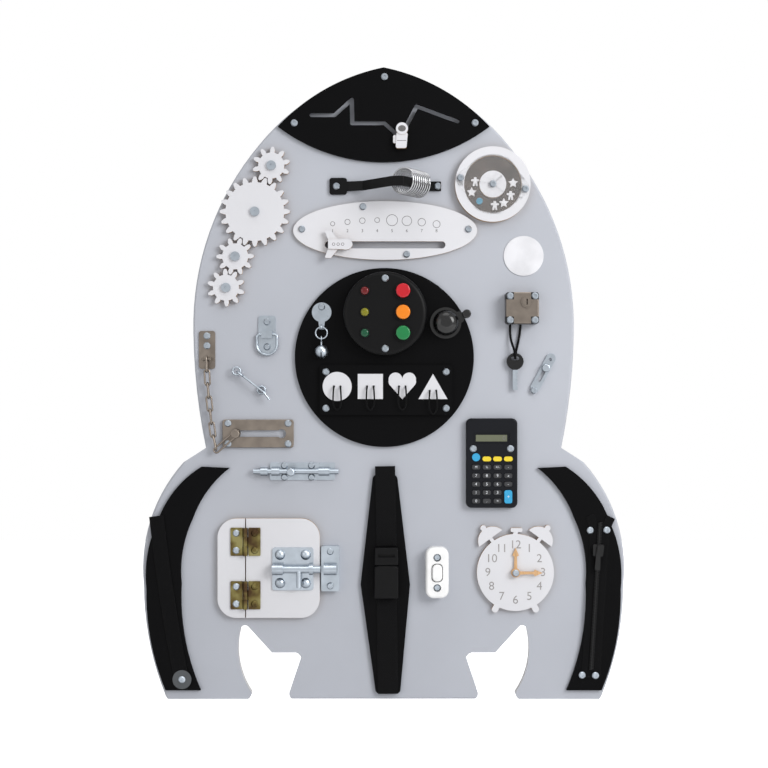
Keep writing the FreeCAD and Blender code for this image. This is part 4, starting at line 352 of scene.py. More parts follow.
class Paint:
    """A material under construction: its tree, its shader and short ways to add nodes."""

    def __init__(self, name, colour, roughness, metallic=0.0, specular=0.5):
        self.material = bpy.data.materials.new(name)
        self.material.use_nodes = True
        self.nodes = self.material.node_tree.nodes
        self.links = self.material.node_tree.links
        self.shader = self.nodes["Principled BSDF"]
        self.shader.inputs["Base Color"].default_value = colour
        self.shader.inputs["Roughness"].default_value = roughness
        self.shader.inputs["Metallic"].default_value = metallic
        self.shader.inputs["Specular IOR Level"].default_value = specular
        self.where = self.nodes.new("ShaderNodeTexCoord").outputs["Object"]
        self.axes = None

    def add(self, kind, **settings):
        """A new node with its settings."""
        node = self.nodes.new(kind)
        for name, setting in settings.items():
            setattr(node, name, setting)
        return node

    def feed(self, socket, source):
        """Link a socket to another, or set it to a number or colour."""
        if isinstance(source, bpy.types.NodeSocket):
            self.links.new(source, socket)
        else:
            socket.default_value = source

    def noise(self, scale, detail=3.0, roughness=0.5, where=None):
        """Cloudy noise from nought to one."""
        node = self.add("ShaderNodeTexNoise")
        node.inputs["Scale"].default_value = scale
        node.inputs["Detail"].default_value = detail
        node.inputs["Roughness"].default_value = roughness
        self.links.new(where or self.where, node.inputs["Vector"])
        return node.outputs["Fac"]

    def stretched(self, scale):
        """The object's coordinates, scaled by three shares."""
        node = self.add("ShaderNodeMapping")
        node.inputs["Scale"].default_value = scale
        self.links.new(self.where, node.inputs["Vector"])
        return node.outputs["Vector"]

    def ramp(self, source, stops):
        """A colour for each level of the source, from (position, colour) stops."""
        node = self.add("ShaderNodeValToRGB")
        while len(node.color_ramp.elements) < len(stops):
            node.color_ramp.elements.new(0.5)
        for element, (position, colour) in zip(node.color_ramp.elements, stops):
            element.position = position
            element.color = colour
        self.links.new(source, node.inputs["Fac"])
        return node.outputs["Color"]

    def maths(self, operation, first, second=0.0):
        """One step of arithmetic on two sockets or numbers."""
        node = self.add("ShaderNodeMath", operation=operation)
        self.feed(node.inputs[0], first)
        self.feed(node.inputs[1], second)
        return node.outputs[0]

    def blend(self, share, first, second):
        """The first colour where the share is nought, and the second where it is one."""
        node = self.add("ShaderNodeMix", data_type="RGBA")
        self.feed(node.inputs["Factor"], share)
        self.feed(node.inputs[6], first)
        self.feed(node.inputs[7], second)
        return node.outputs[2]

    def axis(self, letter):
        """One coordinate of the point, in metres."""
        if self.axes is None:
            self.axes = self.add("ShaderNodeSeparateXYZ")
            self.links.new(self.where, self.axes.inputs[0])
        return self.axes.outputs[letter]

    def reach(self, middle):
        """Distance in the board's plane from a place given in millimetres."""
        across = self.maths("SUBTRACT", self.axis("X"), middle[0] * MM)
        up = self.maths("SUBTRACT", self.axis("Z"), middle[1] * MM)
        squares = self.maths("ADD", self.maths("MULTIPLY", across, across), self.maths("MULTIPLY", up, up))
        return self.maths("SQRT", squares)

    def facing(self):
        """The surface's own direction, in three parts."""
        coords = self.add("ShaderNodeTexCoord")
        split = self.add("ShaderNodeSeparateXYZ")
        self.links.new(coords.outputs["Normal"], split.inputs[0])
        return split.outputs

    def side_share(self):
        """One on walls that stand square to the board's face, and nought on the face."""
        limit = 0.35
        return self.maths("LESS_THAN", self.maths("ABSOLUTE", self.facing()["Y"]), limit)

    def worn(self, tint):
        """A metal's tint, darker with painted shade on flanks that look down or left and lighter with a
        painted highlight on the opposite ones.
        """
        facing = self.facing()
        sideways, steep, middle = 0.5, 0.55, 0.62
        lean = self.maths("ADD", facing["Z"], self.maths("MULTIPLY", facing["X"], sideways))
        level = self.maths("ADD", self.maths("MULTIPLY", lean, steep), middle)
        deepest_painted_shade = (0.22, 0.22, 0.23, 1)
        node = self.add("ShaderNodeMix", data_type="RGBA", blend_type="MULTIPLY")
        node.inputs["Factor"].default_value = 1.0
        self.feed(node.inputs[6], tint)
        self.feed(node.inputs[7], self.ramp(level, [(0.0, deepest_painted_shade), (1.0, (1, 1, 1, 1))]))
        return node.outputs[2]

    def clouded(self, cloud, colour, dark, light, low=0.3, high=0.7):
        """A colour that drifts between a darker and a lighter share of itself."""
        return self.ramp(cloud, [(low, shade(colour, dark)), (high, shade(colour, light))])

    def colour(self, source):
        """The shader's colour."""
        self.feed(self.shader.inputs["Base Color"], source)

    def rough(self, source, low, high):
        """Roughness between two levels."""
        node = self.add("ShaderNodeMapRange")
        self.links.new(source, node.inputs["Value"])
        node.inputs["To Min"].default_value = low
        node.inputs["To Max"].default_value = high
        self.links.new(node.outputs["Result"], self.shader.inputs["Roughness"])

    def bump(self, source, strength, distance):
        """Small unevenness of the surface, its full height given in metres."""
        node = self.add("ShaderNodeBump")
        node.inputs["Strength"].default_value = strength
        node.inputs["Distance"].default_value = distance
        self.links.new(source, node.inputs["Height"])
        self.links.new(node.outputs["Normal"], self.shader.inputs["Normal"])


def shade(colour, share):
    """A colour made darker or lighter by a share."""
    return tuple(min(1.0, part * share) for part in colour[:3]) + (1.0,)


def painted_ply(name, colour, edge, roughness, layers=5200, specular=0.4):
    """Matt paint with a faint orange peel over plywood whose sawn edge shows its layers."""
    paint = Paint(name, colour, roughness, specular=specular)
    cloud = paint.noise(9, 4)
    face = paint.clouded(cloud, colour, 0.965, 1.025)
    bands = paint.maths("SINE", paint.maths("MULTIPLY", paint.axis("Y"), layers))
    band_share = paint.maths("MULTIPLY", paint.maths("ADD", bands, 1.0), 0.5)
    wood = paint.blend(band_share, shade(edge, 0.72), edge)
    paint.colour(paint.blend(paint.side_share(), face, wood))
    paint.rough(paint.noise(60, 3), roughness - 0.06, roughness + 0.08)
    paint.bump(paint.noise(1500, 2), 0.12, 0.0002)
    return paint.material


def metal(name, colour, low, high, patch=None, scale=120):
    """Plated steel with cloudy roughness, faint rolling marks and, if given, patches of a second tint,
    which on the mirror are part of a painted reflection.
    """
    paint = Paint(name, colour, (low + high) / 2, 1.0)
    cloud = paint.noise(scale, 4, 0.5)
    tint = paint.ramp(cloud, [(0.3, patch or shade(colour, 0.9)), (0.7, shade(colour, 1.05))])
    # painted shade on flanks facing down or left, painted highlight on those facing up or right
    paint.colour(paint.worn(tint))
    paint.rough(paint.noise(scale * 2.3, 4), low, high)
    paint.bump(paint.noise(700, 3, 0.6, paint.stretched((1, 1, 5))), 0.10, 0.0002)
    return paint.material


def moulded(name, colour, roughness, grain=900, coat=0.0, specular=0.4):
    """Moulded plastic with a fine grain and slight colour drift."""
    paint = Paint(name, colour, roughness, specular=specular)
    paint.shader.inputs["Coat Weight"].default_value = coat
    paint.colour(paint.clouded(paint.noise(40, 3), colour, 0.9, 1.08))
    paint.rough(paint.noise(grain, 2), max(0.05, roughness - 0.05), roughness + 0.07)
    paint.bump(paint.noise(grain, 2), 0.06, 0.0001)
    return paint.material


def woven(name, colour, across, along):
    """Woven cloth: sines in X and Z crossed as an over and under weave, with fuzz between."""
    paint = Paint(name, colour, 0.85, specular=0.06)
    warp = paint.maths("SINE", paint.maths("MULTIPLY", paint.axis("X"), across))
    weft = paint.maths("SINE", paint.maths("MULTIPLY", paint.axis("Z"), along))
    weave = paint.maths("MULTIPLY", warp, weft)
    fuzz = paint.noise(2500, 3)
    height = paint.maths("ADD", paint.maths("MULTIPLY", weave, 0.5), fuzz)
    paint.colour(paint.clouded(height, colour, 0.55, 1.7, 0.1, 0.9))
    paint.bump(height, 0.5, 0.0004)
    paint.shader.inputs["Sheen Weight"].default_value = 0.05
    return paint.material


def wood_grain(name, colour):
    """Bare or scorched wood: long streaks of noise drawn out along Z."""
    paint = Paint(name, colour, 0.6)
    streaks = paint.noise(900, 5, 0.6, paint.stretched((1, 1, 0.12)))
    paint.colour(paint.clouded(streaks, colour, 0.72, 1.12))
    paint.bump(streaks, 0.15, 0.0002)
    return paint.material


def split_metal(name):
    """Hinge and chain plates: nickel above, and below it brass at the hinges and zinc to their right."""
    paint = Paint(name, NICKEL, 0.32, 1.0)
    cloud = paint.noise(70, 2, 0.4)
    nickel = paint.clouded(cloud, NICKEL, 0.8, 1.08, 0.35, 0.65)
    antique = paint.ramp(cloud, [(0.36, ANTIQUE_DARK), (0.5, ANTIQUE), (0.64, ANTIQUE_LIGHT)])
    zinc = paint.clouded(cloud, ZINC, 0.86, 1.06, 0.35, 0.65)
    below = paint.maths("LESS_THAN", paint.axis("Z"), HINGES_TOP * MM)
    right = paint.maths("GREATER_THAN", paint.axis("X"), HINGES_RIGHT * MM)
    lower = paint.blend(right, antique, zinc)
    # painted shade on flanks facing down or left, painted highlight on those facing up or right
    paint.colour(paint.worn(paint.blend(below, nickel, lower)))
    paint.rough(paint.noise(320, 4), 0.24, 0.42)
    paint.bump(paint.noise(700, 3, 0.6, paint.stretched((1, 1, 5))), 0.12, 0.0002)
    return paint.material


def lock_metal():
    """Lock's casing: nickel, with a black plastic block round each corner screw."""
    paint = Paint("lock_casing", NICKEL, 0.3, 1.0)
    cloud = paint.noise(110, 4, 0.5)
    # painted shade on flanks facing down or left, painted highlight on those facing up or right
    paint.colour(paint.worn(paint.clouded(cloud, NICKEL, 0.84, 1.05)))
    across = paint.maths("ABSOLUTE", paint.maths("SUBTRACT", paint.axis("X"), LOCK[0] * MM))
    up = paint.maths("ABSOLUTE", paint.maths("SUBTRACT", paint.axis("Z"), LOCK[1] * MM))
    corner = paint.maths("GREATER_THAN", paint.maths("MINIMUM", across, up), LOCK_BLOCK * MM)
    return two_shaders(paint, corner, linear((16, 16, 17)))


def key_metal():
    """Key: a black moulded bow over a bright plated blade."""
    paint = Paint("key_blade", ZINC, 0.3, 1.0)
    cloud = paint.noise(300, 4, 0.5)
    # painted shade on flanks facing down or left, painted highlight on those facing up or right
    paint.colour(paint.worn(paint.clouded(cloud, ZINC, 0.9, 1.1)))
    bow = paint.maths("GREATER_THAN", paint.axis("Z"), KEY_BOW_LOW * MM)
    return two_shaders(paint, bow, linear((12, 12, 13)))


def two_shaders(paint, share, colour):
    """The material with plastic of a second colour where share is one."""
    plastic = paint.add("ShaderNodeBsdfPrincipled")
    plastic.inputs["Roughness"].default_value = 0.4
    plastic.inputs["Specular IOR Level"].default_value = 0.25
    grain = paint.noise(500, 2)
    paint.links.new(paint.clouded(grain, colour, 0.85, 1.2), plastic.inputs["Base Color"])
    mix = paint.add("ShaderNodeMixShader")
    paint.links.new(share, mix.inputs[0])
    paint.links.new(paint.shader.outputs[0], mix.inputs[1])
    paint.links.new(plastic.outputs[0], mix.inputs[2])
    paint.links.new(mix.outputs[0], paint.nodes["Material Output"].inputs["Surface"])
    return paint.material


def token_paint(white):
    """White tokens, and one teal bead."""
    paint = Paint("token_paint", white, 0.4)
    near = paint.maths("LESS_THAN", paint.reach(BEAD), BEAD_REACH * MM)
    cloudy = paint.clouded(paint.noise(60), white, 0.93, 1.03)
    paint.colour(paint.blend(near, cloudy, linear((20, 120, 150))))
    paint.bump(paint.noise(900), 0.08, 0.0002)
    return paint.material


def key_paint():
    """Calculator keys by place: a round and a tall blue key, three yellow ones, and black for the rest."""
    paint = Paint("key_rubber", linear((24, 25, 28)), 0.45)
    blue, yellow = linear((40, 150, 196)), linear((222, 196, 40))
    black = paint.ramp(paint.noise(300), [(0.3, linear((20, 21, 24))), (0.7, linear((34, 35, 39)))])
    top_row = paint.maths("GREATER_THAN", paint.axis("Z"), TOP_KEYS_LOW * MM)
    left = paint.maths("LESS_THAN", paint.axis("X"), ROUND_KEY_RIGHT * MM)
    top = paint.blend(left, yellow, blue)
    tall_x = paint.maths("GREATER_THAN", paint.axis("X"), TALL_KEY_LEFT * MM)
    tall_z = paint.maths("LESS_THAN", paint.axis("Z"), TALL_KEY_TOP * MM)
    lower = paint.blend(paint.maths("MULTIPLY", tall_x, tall_z), black, blue)
    paint.colour(paint.blend(top_row, lower, top))
    paint.rough(paint.noise(900), 0.38, 0.5)
    paint.bump(paint.noise(1200), 0.06, 0.0001)
    return paint.material


def window_plastic():
    """Clear window: a glossy sheet so thin that it only covers a small share of what lies behind."""
    paint = Paint("window_plastic", linear((250, 250, 250)), 0.06)
    paint.shader.inputs["Alpha"].default_value = 0.07
    paint.rough(paint.noise(90), 0.03, 0.09)
    return paint.material


def tinted_lens(name, colour):
    """Tinted lens over a small lamp, with a slightly uneven surface."""
    paint = Paint(name, colour, 0.15, specular=0.3)
    paint.shader.inputs["Coat Weight"].default_value = 0.1
    paint.colour(paint.clouded(paint.noise(700, 2), colour, 0.75, 1.2))
    paint.bump(paint.noise(1500, 1), 0.1, 0.0001)
    return paint.material


# Tints of the metals, and the materials that the first operator fills in
ZINC = linear((188, 197, 206))
NICKEL = linear((146, 136, 126))
ANTIQUE = linear((116, 104, 62))
ANTIQUE_DARK = linear((78, 60, 42))
ANTIQUE_LIGHT = linear((150, 142, 94))
PAINTS = {}


def mix_paints(looks):
    """Make every material once, from the colours in the panel."""
    white, black = tuple(looks.white_paint), tuple(looks.black_paint)
    dark_edge = linear((10, 9, 9))
    PAINTS.update({
        "board": painted_ply("board_paint", tuple(looks.board_grey), linear((206, 205, 206)), 0.6),
        "white_ply": painted_ply("white_ply_paint", white, linear((178, 142, 100)), 0.5, layers=4300),
        "black_ply": painted_ply("black_panel_paint", black, dark_edge, 0.5, layers=4300, specular=0.06),
        "zinc": metal("zinc_plate", ZINC, 0.22, 0.4),
        "spring": metal("spring_steel", linear((205, 206, 208)), 0.14, 0.26),
        "nickel": metal("nickel_plate", NICKEL, 0.22, 0.38),
        "plates": split_metal("hinge_and_chain_metal"),
        "bell": moulded("bell_enamel", linear((9, 9, 10)), 0.2, grain=500, coat=0.1),
        "black_gloss": moulded("black_moulding", linear((6, 6, 7)), 0.42, specular=0.12),
        "case": moulded("calculator_moulding", linear((9, 11, 17)), 0.42, grain=1200, specular=0.15),
        "white_gloss": moulded("switch_moulding", linear((238, 238, 238)), 0.25),
        "red": moulded("red_button_cap", linear((186, 8, 28)), 0.2, grain=700, coat=0.1),
        "amber": moulded("amber_button_cap", linear((228, 126, 8)), 0.2, grain=700, coat=0.1),
        "green": moulded("green_button_cap", linear((6, 118, 60)), 0.2, grain=700, coat=0.1),
        "tokens": token_paint(white),
        "window": window_plastic(),
        "keys": key_paint(),
        "tan": wood_grain("clock_hand_wood", linear((206, 164, 118))),
        "webbing": woven("black_webbing", linear((13, 13, 14)), across=2600, along=1900),
        "fabric": woven("black_fabric", linear((11, 11, 12)), across=4200, along=4200),
        "cord": woven("black_cord", linear((12, 12, 13)), across=3600, along=3600),
        "teeth": moulded("zip_teeth", linear((16, 16, 17)), 0.45, specular=0.25),
        "lock": lock_metal(),
        "key_metal": key_metal(),
        "pale_ink": wood_grain("clock_number_line", linear((150, 147, 146))),
        "ink": wood_grain("engraved_line", tuple(looks.ink)),
        "white_ink": moulded("key_legend", linear((215, 218, 222)), 0.5),
        "display": moulded("display_glass", linear((96, 100, 78)), 0.15, grain=300, coat=0.4),
        # brown tint and dark patches: a painted reflection of brown surroundings in the mirror
        "mirror": metal("mirror_painted_reflection", linear((104, 88, 78)), 0.06, 0.16, linear((40, 32, 28)), scale=60),
        "led_red": tinted_lens("lens_red", linear((100, 8, 14))),
        "led_yellow": tinted_lens("lens_yellow", linear((122, 118, 16))),
        "led_green": tinted_lens("lens_green", linear((4, 74, 46))),
        "sticker": moulded("badge_film", linear((214, 214, 218)), 0.4),
        "washer": moulded("strap_washer_film", linear((74, 77, 80)), 0.3, grain=300, specular=0.3),
    })


# Which nodes of the frame take which material
NODE_PAINTS = {
    "board": ["board"],
    "white_ply": ["planet_panel", "big_gear", "upper_gear", "middle_gear", "lower_gear", "figure_slider",
                  "ship_slider", "porthole_frame", "disc_shape", "square_shape", "heart_shape",
                  "triangle_shape", "door_strip", "door_leaf", "clock_face"],
    "black_ply": ["nose_panel", "disc_panel", "lower_panels", "shape_sorter"],
    "zinc": ["zinc_fittings", "lashing_ring", "cabin_hook", "tower_bolt_rod", "latch_slider",
             "door_bolt_body", "door_bolt_rod", "jingle_charm", "fixed_screws"],
    "spring": ["handle_spring"],
    "nickel": ["door_chain", "chain_slider", "lock_plug"],
    "lock": ["lock_body"],
    "key_metal": ["door_key"],
    "plates": ["hinge_and_chain_plates", "door_plates"],
    "bell": ["bell_body", "bell_lever"],
    "black_gloss": ["bow_handle", "lamp_body", "buckle_socket", "buckle_plug"],
    "case": ["calculator_case"],
    "white_gloss": ["switch_body", "switch_rocker"],
    "red": ["red_button"],
    "amber": ["amber_button"],
    "green": ["green_button"],
    "tokens": ["porthole_tokens"],
    "window": ["porthole_window"],
    "keys": ["calculator_keys"],
    "tan": ["hour_hand", "minute_hand"],
    "webbing": ["strap_webbing"],
    "fabric": ["velcro_strap", "zip_tape"],
    "teeth": ["zip_slider"],
    "cord": ["shape_loops", "key_cord"],
}


class Maker(bpy.types.Operator):
    """Shared ground of the operators that make pieces"""
    bl_options = {"REGISTER"}

    def execute(self, context):
        self.make(context.scene.board_looks, context.scene.board_soft)
        return {"FINISHED"}


class BOARD_OT_paint(Maker):
    """Paint, plate and mould every rigid piece of the frame"""
    bl_idname = "board.paint"
    bl_label = "Finish rigid pieces"

    def make(self, looks, soft):
        mix_paints(looks)
        for paint, names in NODE_PAINTS.items():
            for name in names:
                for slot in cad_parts[name].material_slots:
                    slot.material = PAINTS[paint]


def cord_curve(name, route, diameter, material, body):
    """A cord as a NURBS line of order three, whose control points are its route's: X, depth and Z.

    The curve's bounds reach a point's radius past each point, so the radius is small and the bevel is
    divided by it.
    """
    curve = bpy.data.curves.new(name, "CURVE")
    curve.dimensions = "3D"
    curve.bevel_depth = diameter / 2 / MM
    curve.bevel_resolution = 5
    curve.resolution_u = 16
    curve.use_fill_caps = True
    spline = curve.splines.new("NURBS")
    spline.points.add(len(route) - 1)
    points = np.array([np.append(at(*point), 1.0) for point in route])
    spline.points.foreach_set("co", points.ravel())
    spline.points.foreach_set("radius", np.full(len(route), MM))
    spline.order_u = 3
    spline.use_endpoint_u = True
    curve.materials.append(material)
    piece = bpy.data.objects.new(name, curve)
    bpy.context.scene.collection.objects.link(piece)
    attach(piece, body)
    return piece


def line_length(piece):
    """Length of a cord's own middle line, in metres."""
    bevel = piece.data.bevel_depth
    piece.data.bevel_depth = 0
    mesh = bpy.data.meshes.new_from_object(piece)
    flat = np.empty(len(mesh.vertices) * 3)
    mesh.vertices.foreach_get("co", flat)
    piece.data.bevel_depth = bevel
    bpy.data.meshes.remove(mesh)
    return float(np.linalg.norm(np.diff(flat.reshape(-1, 3), axis=0), axis=1).sum())


def loop_route(x, z):
    """Route of a shape's loop: out of its left hole, down in a slack bend and back into the right one."""
    hole, belly, low = 3.6, 4.6, z - 27
    face, crest, swing, rest = (SHAPE_FRONT + clear for clear in (3.4, 4.6, 3.2, 2.6))
    left = [(x - hole, LOOP_START, z), (x - hole, face, z), (x - hole - 0.7, crest, z - 8),
            (x - belly, swing, low + 6)]
    right = [(2 * x - across, depth, up) for across, depth, up in reversed(left)]
    return left + [(x, rest, low)] + right


class BOARD_OT_cords(Maker):
    """Cord loops of the four shapes, and the cord that holds the key"""
    bl_idname = "board.cords"
    bl_label = "Cords"

    def make(self, looks, soft):
        pieces = []
        for name, (x, z) in SHAPE_SPOTS.items():
            route = loop_route(x, z)
            piece = cord_curve(name + "_loop", route, soft.loop_cord, PAINTS["cord"], name + "_shape")
            line_length(piece)
            pieces.append(piece)
        for piece in pieces:
            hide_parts("shape_loops")
        key = cord_curve("key_lanyard", KEY_CORD_ROUTE, soft.key_cord, PAINTS["cord"], "board")
        line_length(key)
        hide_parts("key_cord")


class BOARD_OT_straps(Maker):
    """Buckle strap, fabric strap on the left fin and its washer"""
    bl_idname = "board.straps"
    bl_label = "Straps"

    def make(self, looks, soft):
        upper = self.webbing("upper_strap", *UPPER_STRAP, soft)
        lower = self.webbing("lower_strap", *LOWER_STRAP, soft)
        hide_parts("strap_webbing")
        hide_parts("strap_webbing")
        self.fin_strap(soft)
        rises = [(10.2, 0), (10.5, 0.15), (10.2, 0.3), (6.0, 0.4), (4.0, 0.4)]
        rim = [(radius, FIN_STRAP_FRONT + rise) for radius, rise in rises]
        turned_piece("strap_washer", FIN_STRAP_END, rim, PAINTS["washer"], "board")

    def webbing(self, name, start, end, soft):
        """One stretch of webbing: a straight run with a slight ripple in depth."""
        share = np.linspace(0, 1, 70)
        depth = PANEL_FRONT + 0.02 + WEBBING_RIPPLE * np.sin(5 * math.pi * share) ** 2
        line = np.stack([start[0] + share * (end[0] - start[0]), -depth,
                         start[1] + share * (end[1] - start[1])], axis=-1) * MM
        thick = soft.webbing_thick - WEBBING_SLACK * MM
        return laid_strap(name, line, soft.webbing_width, thick, PAINTS["webbing"])

    def fin_strap(self, soft):
        """Strap on the left fin: its middle line bows aside by b sin(pi s) and ripples in depth."""
        share = np.linspace(0, 1, 60)
        top, low = np.array(FIN_STRAP_TOP), np.array((FIN_STRAP_END[0], FIN_STRAP_END[1] - 3))
        chord = low - top
        bow = FIN_STRAP_BOW * np.sin(math.pi * share)
        side = np.array((chord[1], -chord[0])) / np.linalg.norm(chord)
        path = top + share[:, None] * chord - bow[:, None] * side
        depth = PANEL_FRONT + 0.05 + FIN_STRAP_RIPPLE * np.sin(9 * math.pi * share) ** 2
        line = np.stack([path[:, 0], -depth, path[:, 1]], axis=-1) * MM
        piece = laid_strap("fin_strap", line, soft.fin_strap_width, FIN_STRAP_THICK * MM,
                           PAINTS["fabric"])
        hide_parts("velcro_strap")


class BOARD_OT_zip(Maker):
    """Zip on the right fin: two tapes that part at the top, and two rows of teeth"""
    bl_idname = "board.zip"
    bl_label = "Zip"

    def make(self, looks, soft):
        top, low = np.array(ZIP_TOP), np.array(ZIP_END)
        along = (top - low) / np.linalg.norm(top - low)
        across = np.array((along[1], -along[0]))
        middle, half = (top + low) / 2, np.linalg.norm(top - low) / 2
        tapes = []
        for name, side in (("zip_tape_left", -1), ("zip_tape_right", 1)):
            tapes.append(self.tape(name, side, middle, half, along, across))
        teeth = [self.teeth(side, middle, half, along, across) for side in (-1, 1)]
        row = add_piece("zip_teeth", *joined(teeth), PAINTS["teeth"], "board", smooth=False)
        for piece in tapes + [row]:
            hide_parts("zip_tape")

    def tape(self, name, side, middle, half, along, across):
        """One tape beside the teeth, which leans out and parts from its fellow near the top."""
        below, above = 9, 6
        up = np.linspace(-half - below, half + above, 60)
        lean = TAPE_LEAN * np.clip((up - half * 0.2) / half, 0, 1) ** 2
        parting = TAPE_PARTING * np.clip((up - half + 14) / 20, 0, 1) ** 1.5
        out = side * (TAPE_OUT + lean + parting)
        path = middle + up[:, None] * along + out[:, None] * across
        line = np.stack([path[:, 0], np.full(len(up), -PANEL_FRONT - 0.02), path[:, 1]], axis=-1) * MM
        return laid_strap(name, line, TAPE_WIDTH * MM, TAPE_THICK * MM, PAINTS["fabric"])

    def teeth(self, side, middle, half, along, across):
        """One row of box-shaped teeth beside the middle line, a quarter of the pitch up or down it."""
        wide, deep, long = TOOTH_HALF
        rows = np.arange(-half + 1, half - 1, TOOTH_PITCH)
        corners = np.array([(a, b, c) for a in (-1, 1) for b in (-1, 1) for c in (-1, 1)], dtype=float)
        box = [(0, 1, 3, 2), (4, 6, 7, 5), (0, 4, 5, 1), (2, 3, 7, 6), (0, 2, 6, 4), (1, 5, 7, 3)]
        centre = middle + (rows + side * TOOTH_PITCH / 4)[:, None] * along + side * TOOTH_OUT * across
        flat = (centre[:, None, :] + corners[None, :, 0, None] * wide * across
                + corners[None, :, 2, None] * long * along)
        depth = PANEL_FRONT + TOOTH_RISE + corners[None, :, 1] * deep + 0 * rows[:, None]
        points = np.stack([flat[..., 0], -depth, flat[..., 1]], axis=-1).reshape(-1, 3) * MM
        faces = [tuple(8 * number + index for index in face) for number in range(len(rows)) for face in box]
        return points, faces


class BOARD_OT_porthole(Maker):
    """Mirror behind the porthole's tokens, whose brown tint and dark patches are a painted reflection"""
    bl_idname = "board.porthole"
    bl_label = "Porthole backing"

    def make(self, looks, soft):
        radius, width, thick = 31.5, 16.5, 0.1
        vertices, faces = line_ring(PORT, radius, width, PORT_BACK, thick, 96)
        add_piece("porthole_backing", vertices, faces, PAINTS["mirror"], "board", smooth=False)


class BOARD_OT_lamp(Maker):
    """Three tinted lenses beside the push buttons"""
    bl_idname = "board.lamp"
    bl_label = "Lamp lenses"

    def make(self, looks, soft):
        front = PANEL_FRONT + LAMP_HEIGHT
        radius, rise, blunt = 4.5, 3.0, 0.6
        swell = [(radius * math.cos(turn) ** blunt, front + rise * math.sin(turn) ** blunt)
                 for turn in np.linspace(0.02, 1.5, 12)]
        collar = [(6.0, front), (5.9, front + 0.9), (5.3, front + 1.2), (4.6, front + 1.0)]
        for name, up in LENS_ROWS.items():
            middle = (LAMP[0] + LENS_COLUMN, LAMP[1] + up)
            turned_piece(name, middle, [(radius, front)] + swell, PAINTS[name], "board", 32)
            turned_piece(name + "_rim", middle, collar, PAINTS["black_gloss"], "board", 32)


class BOARD_OT_marks(Maker):
    """Engraved numbers and rings on the oval panel, the clock and the figures, and the bare badge"""
    bl_idname = "board.marks"
    bl_label = "Marks"

    def make(self, looks, soft):
        self.oval_panel()
        self.clock()
        self.figure()
        self.ship()
        rises = [(22.0, 0), (22.2, 0.2), (22.1, 0.9), (21.7, 1.0), (1.0, 1.0)]
        film = [(radius, BOARD_FRONT + rise) for radius, rise in rises]
        turned_piece("badge", BADGE, film, PAINTS["sticker"], "board", 96)

    def oval_panel(self):
        """A row of eight rings on a shallow arch, and their numbers in a straight line below."""
        x, z = PLANET
        left, crest, low = x - 58, z + 11.5, z - 0.4
        pitch, middle, sag = 16.4, 56, 0.0013
        radii, line, height = (2.6, 3.2, 3.4, 3.0, 6.4, 5.6, 4.4, 4.2), 0.55, 3.6
        steps = [pitch * place for place in range(len(radii))]
        spots = [(left + step, crest - sag * (step - middle) ** 2) for step in steps]
        rings = [line_ring(spot, radius, line, PANEL_FRONT) for spot, radius in zip(spots, radii)]
        words = [(str(place), spot[0], low, height) for place, spot in enumerate(spots, 1)]
        marks = joined(rings + [lettering(words, PANEL_FRONT)])
        add_piece("oval_panel_marks", *marks, PAINTS["ink"], "board", smooth=False)

    def clock(self):
        """The twelve hours on a circle."""
        reach, height = 30.5, 9.6
        hours = []
        for hour in range(1, 13):
            turn = hour * math.pi / 6
            spot = (CLOCK[0] + reach * math.sin(turn), CLOCK[1] + reach * math.cos(turn))
            hours.append((str(hour), *spot, height))
        numbers = lettering(hours, CLOCK_FRONT)
        add_piece("clock_numbers", *numbers, PAINTS["pale_ink"], "board", smooth=False)

    def figure(self):
        """The sliding figure's visor and belt."""
        x, z = FIGURE
        radius, squeeze, thick = 4.3, 0.8, 0.12
        visor = flat_shape(ring_outline((x + 2, z + 8.5), radius, 32, squeeze), FIGURE_FRONT, thick)
        add_piece("figure_visor", *visor, PAINTS["ink"], "figure", smooth=False)
        belt = flat_shape(box_outline(x - 3.6, x + 6.6, z - 5, z - 4.4), FIGURE_BELT_FRONT, 0.1)
        add_piece("figure_belt", *belt, PAINTS["ink"], "figure", smooth=False)

    def ship(self):
        """Three round windows in a row along the sliding ship."""
        radius, line, pitch = 1.7, 0.5, 5
        spots = [(SHIP[0] + step, SHIP[1]) for step in (-pitch, 0, pitch)]
        ports = [line_ring(spot, radius, line, FIGURE_FRONT) for spot in spots]
        add_piece("ship_windows", *joined(ports), PAINTS["ink"], "ship", smooth=False)


class BOARD_OT_calculator(Maker):
    """Display and key legends of the calculator"""
    bl_idname = "board.calculator"
    bl_label = "Calculator face"

    def make(self, looks, soft):
        x, z = CALCULATOR
        glass, number, sign, plus, digit = 0.15, 3.2, 2.6, 4.2, 5.2
        display = flat_shape(box_outline(x - 17.6, x + 16.8, z + 24, z + 31.2), DISPLAY_FRONT, glass)
        add_piece("calculator_display", *display, PAINTS["display"], "board", smooth=False)
        columns = [x + column for column in CALCULATOR_COLUMNS]
        rows = [z + row for row in CALCULATOR_ROWS]
        legends = (("7", "8", "9"), ("4", "5", "6"), ("1", "2", "3"), ("0", ".", "="))
        words = [(text, column, row, number)
                 for row, texts in zip(rows[1:], legends) for column, text in zip(columns, texts)]
        words += [(text, column, rows[0], sign) for column, text in zip(columns, ("M", "%", "+/-", "-"))]
        words += [("x", columns[3], rows[1], number), ("-", columns[3], rows[2], number),
                  ("+", columns[3], z + (CALCULATOR_ROWS[3] + CALCULATOR_ROWS[4]) / 2, plus)]
        signs = lettering(words, KEY_FRONT, 0.05)
        add_piece("key_legends", *signs, PAINTS["white_ink"], "calculator_keys", smooth=False)
        shown = lettering([("0", x + 13.5, z + 27.6, digit)], DISPLAY_FRONT + glass, 0.04)
        add_piece("display_digit", *shown, PAINTS["ink"], "board", smooth=False)


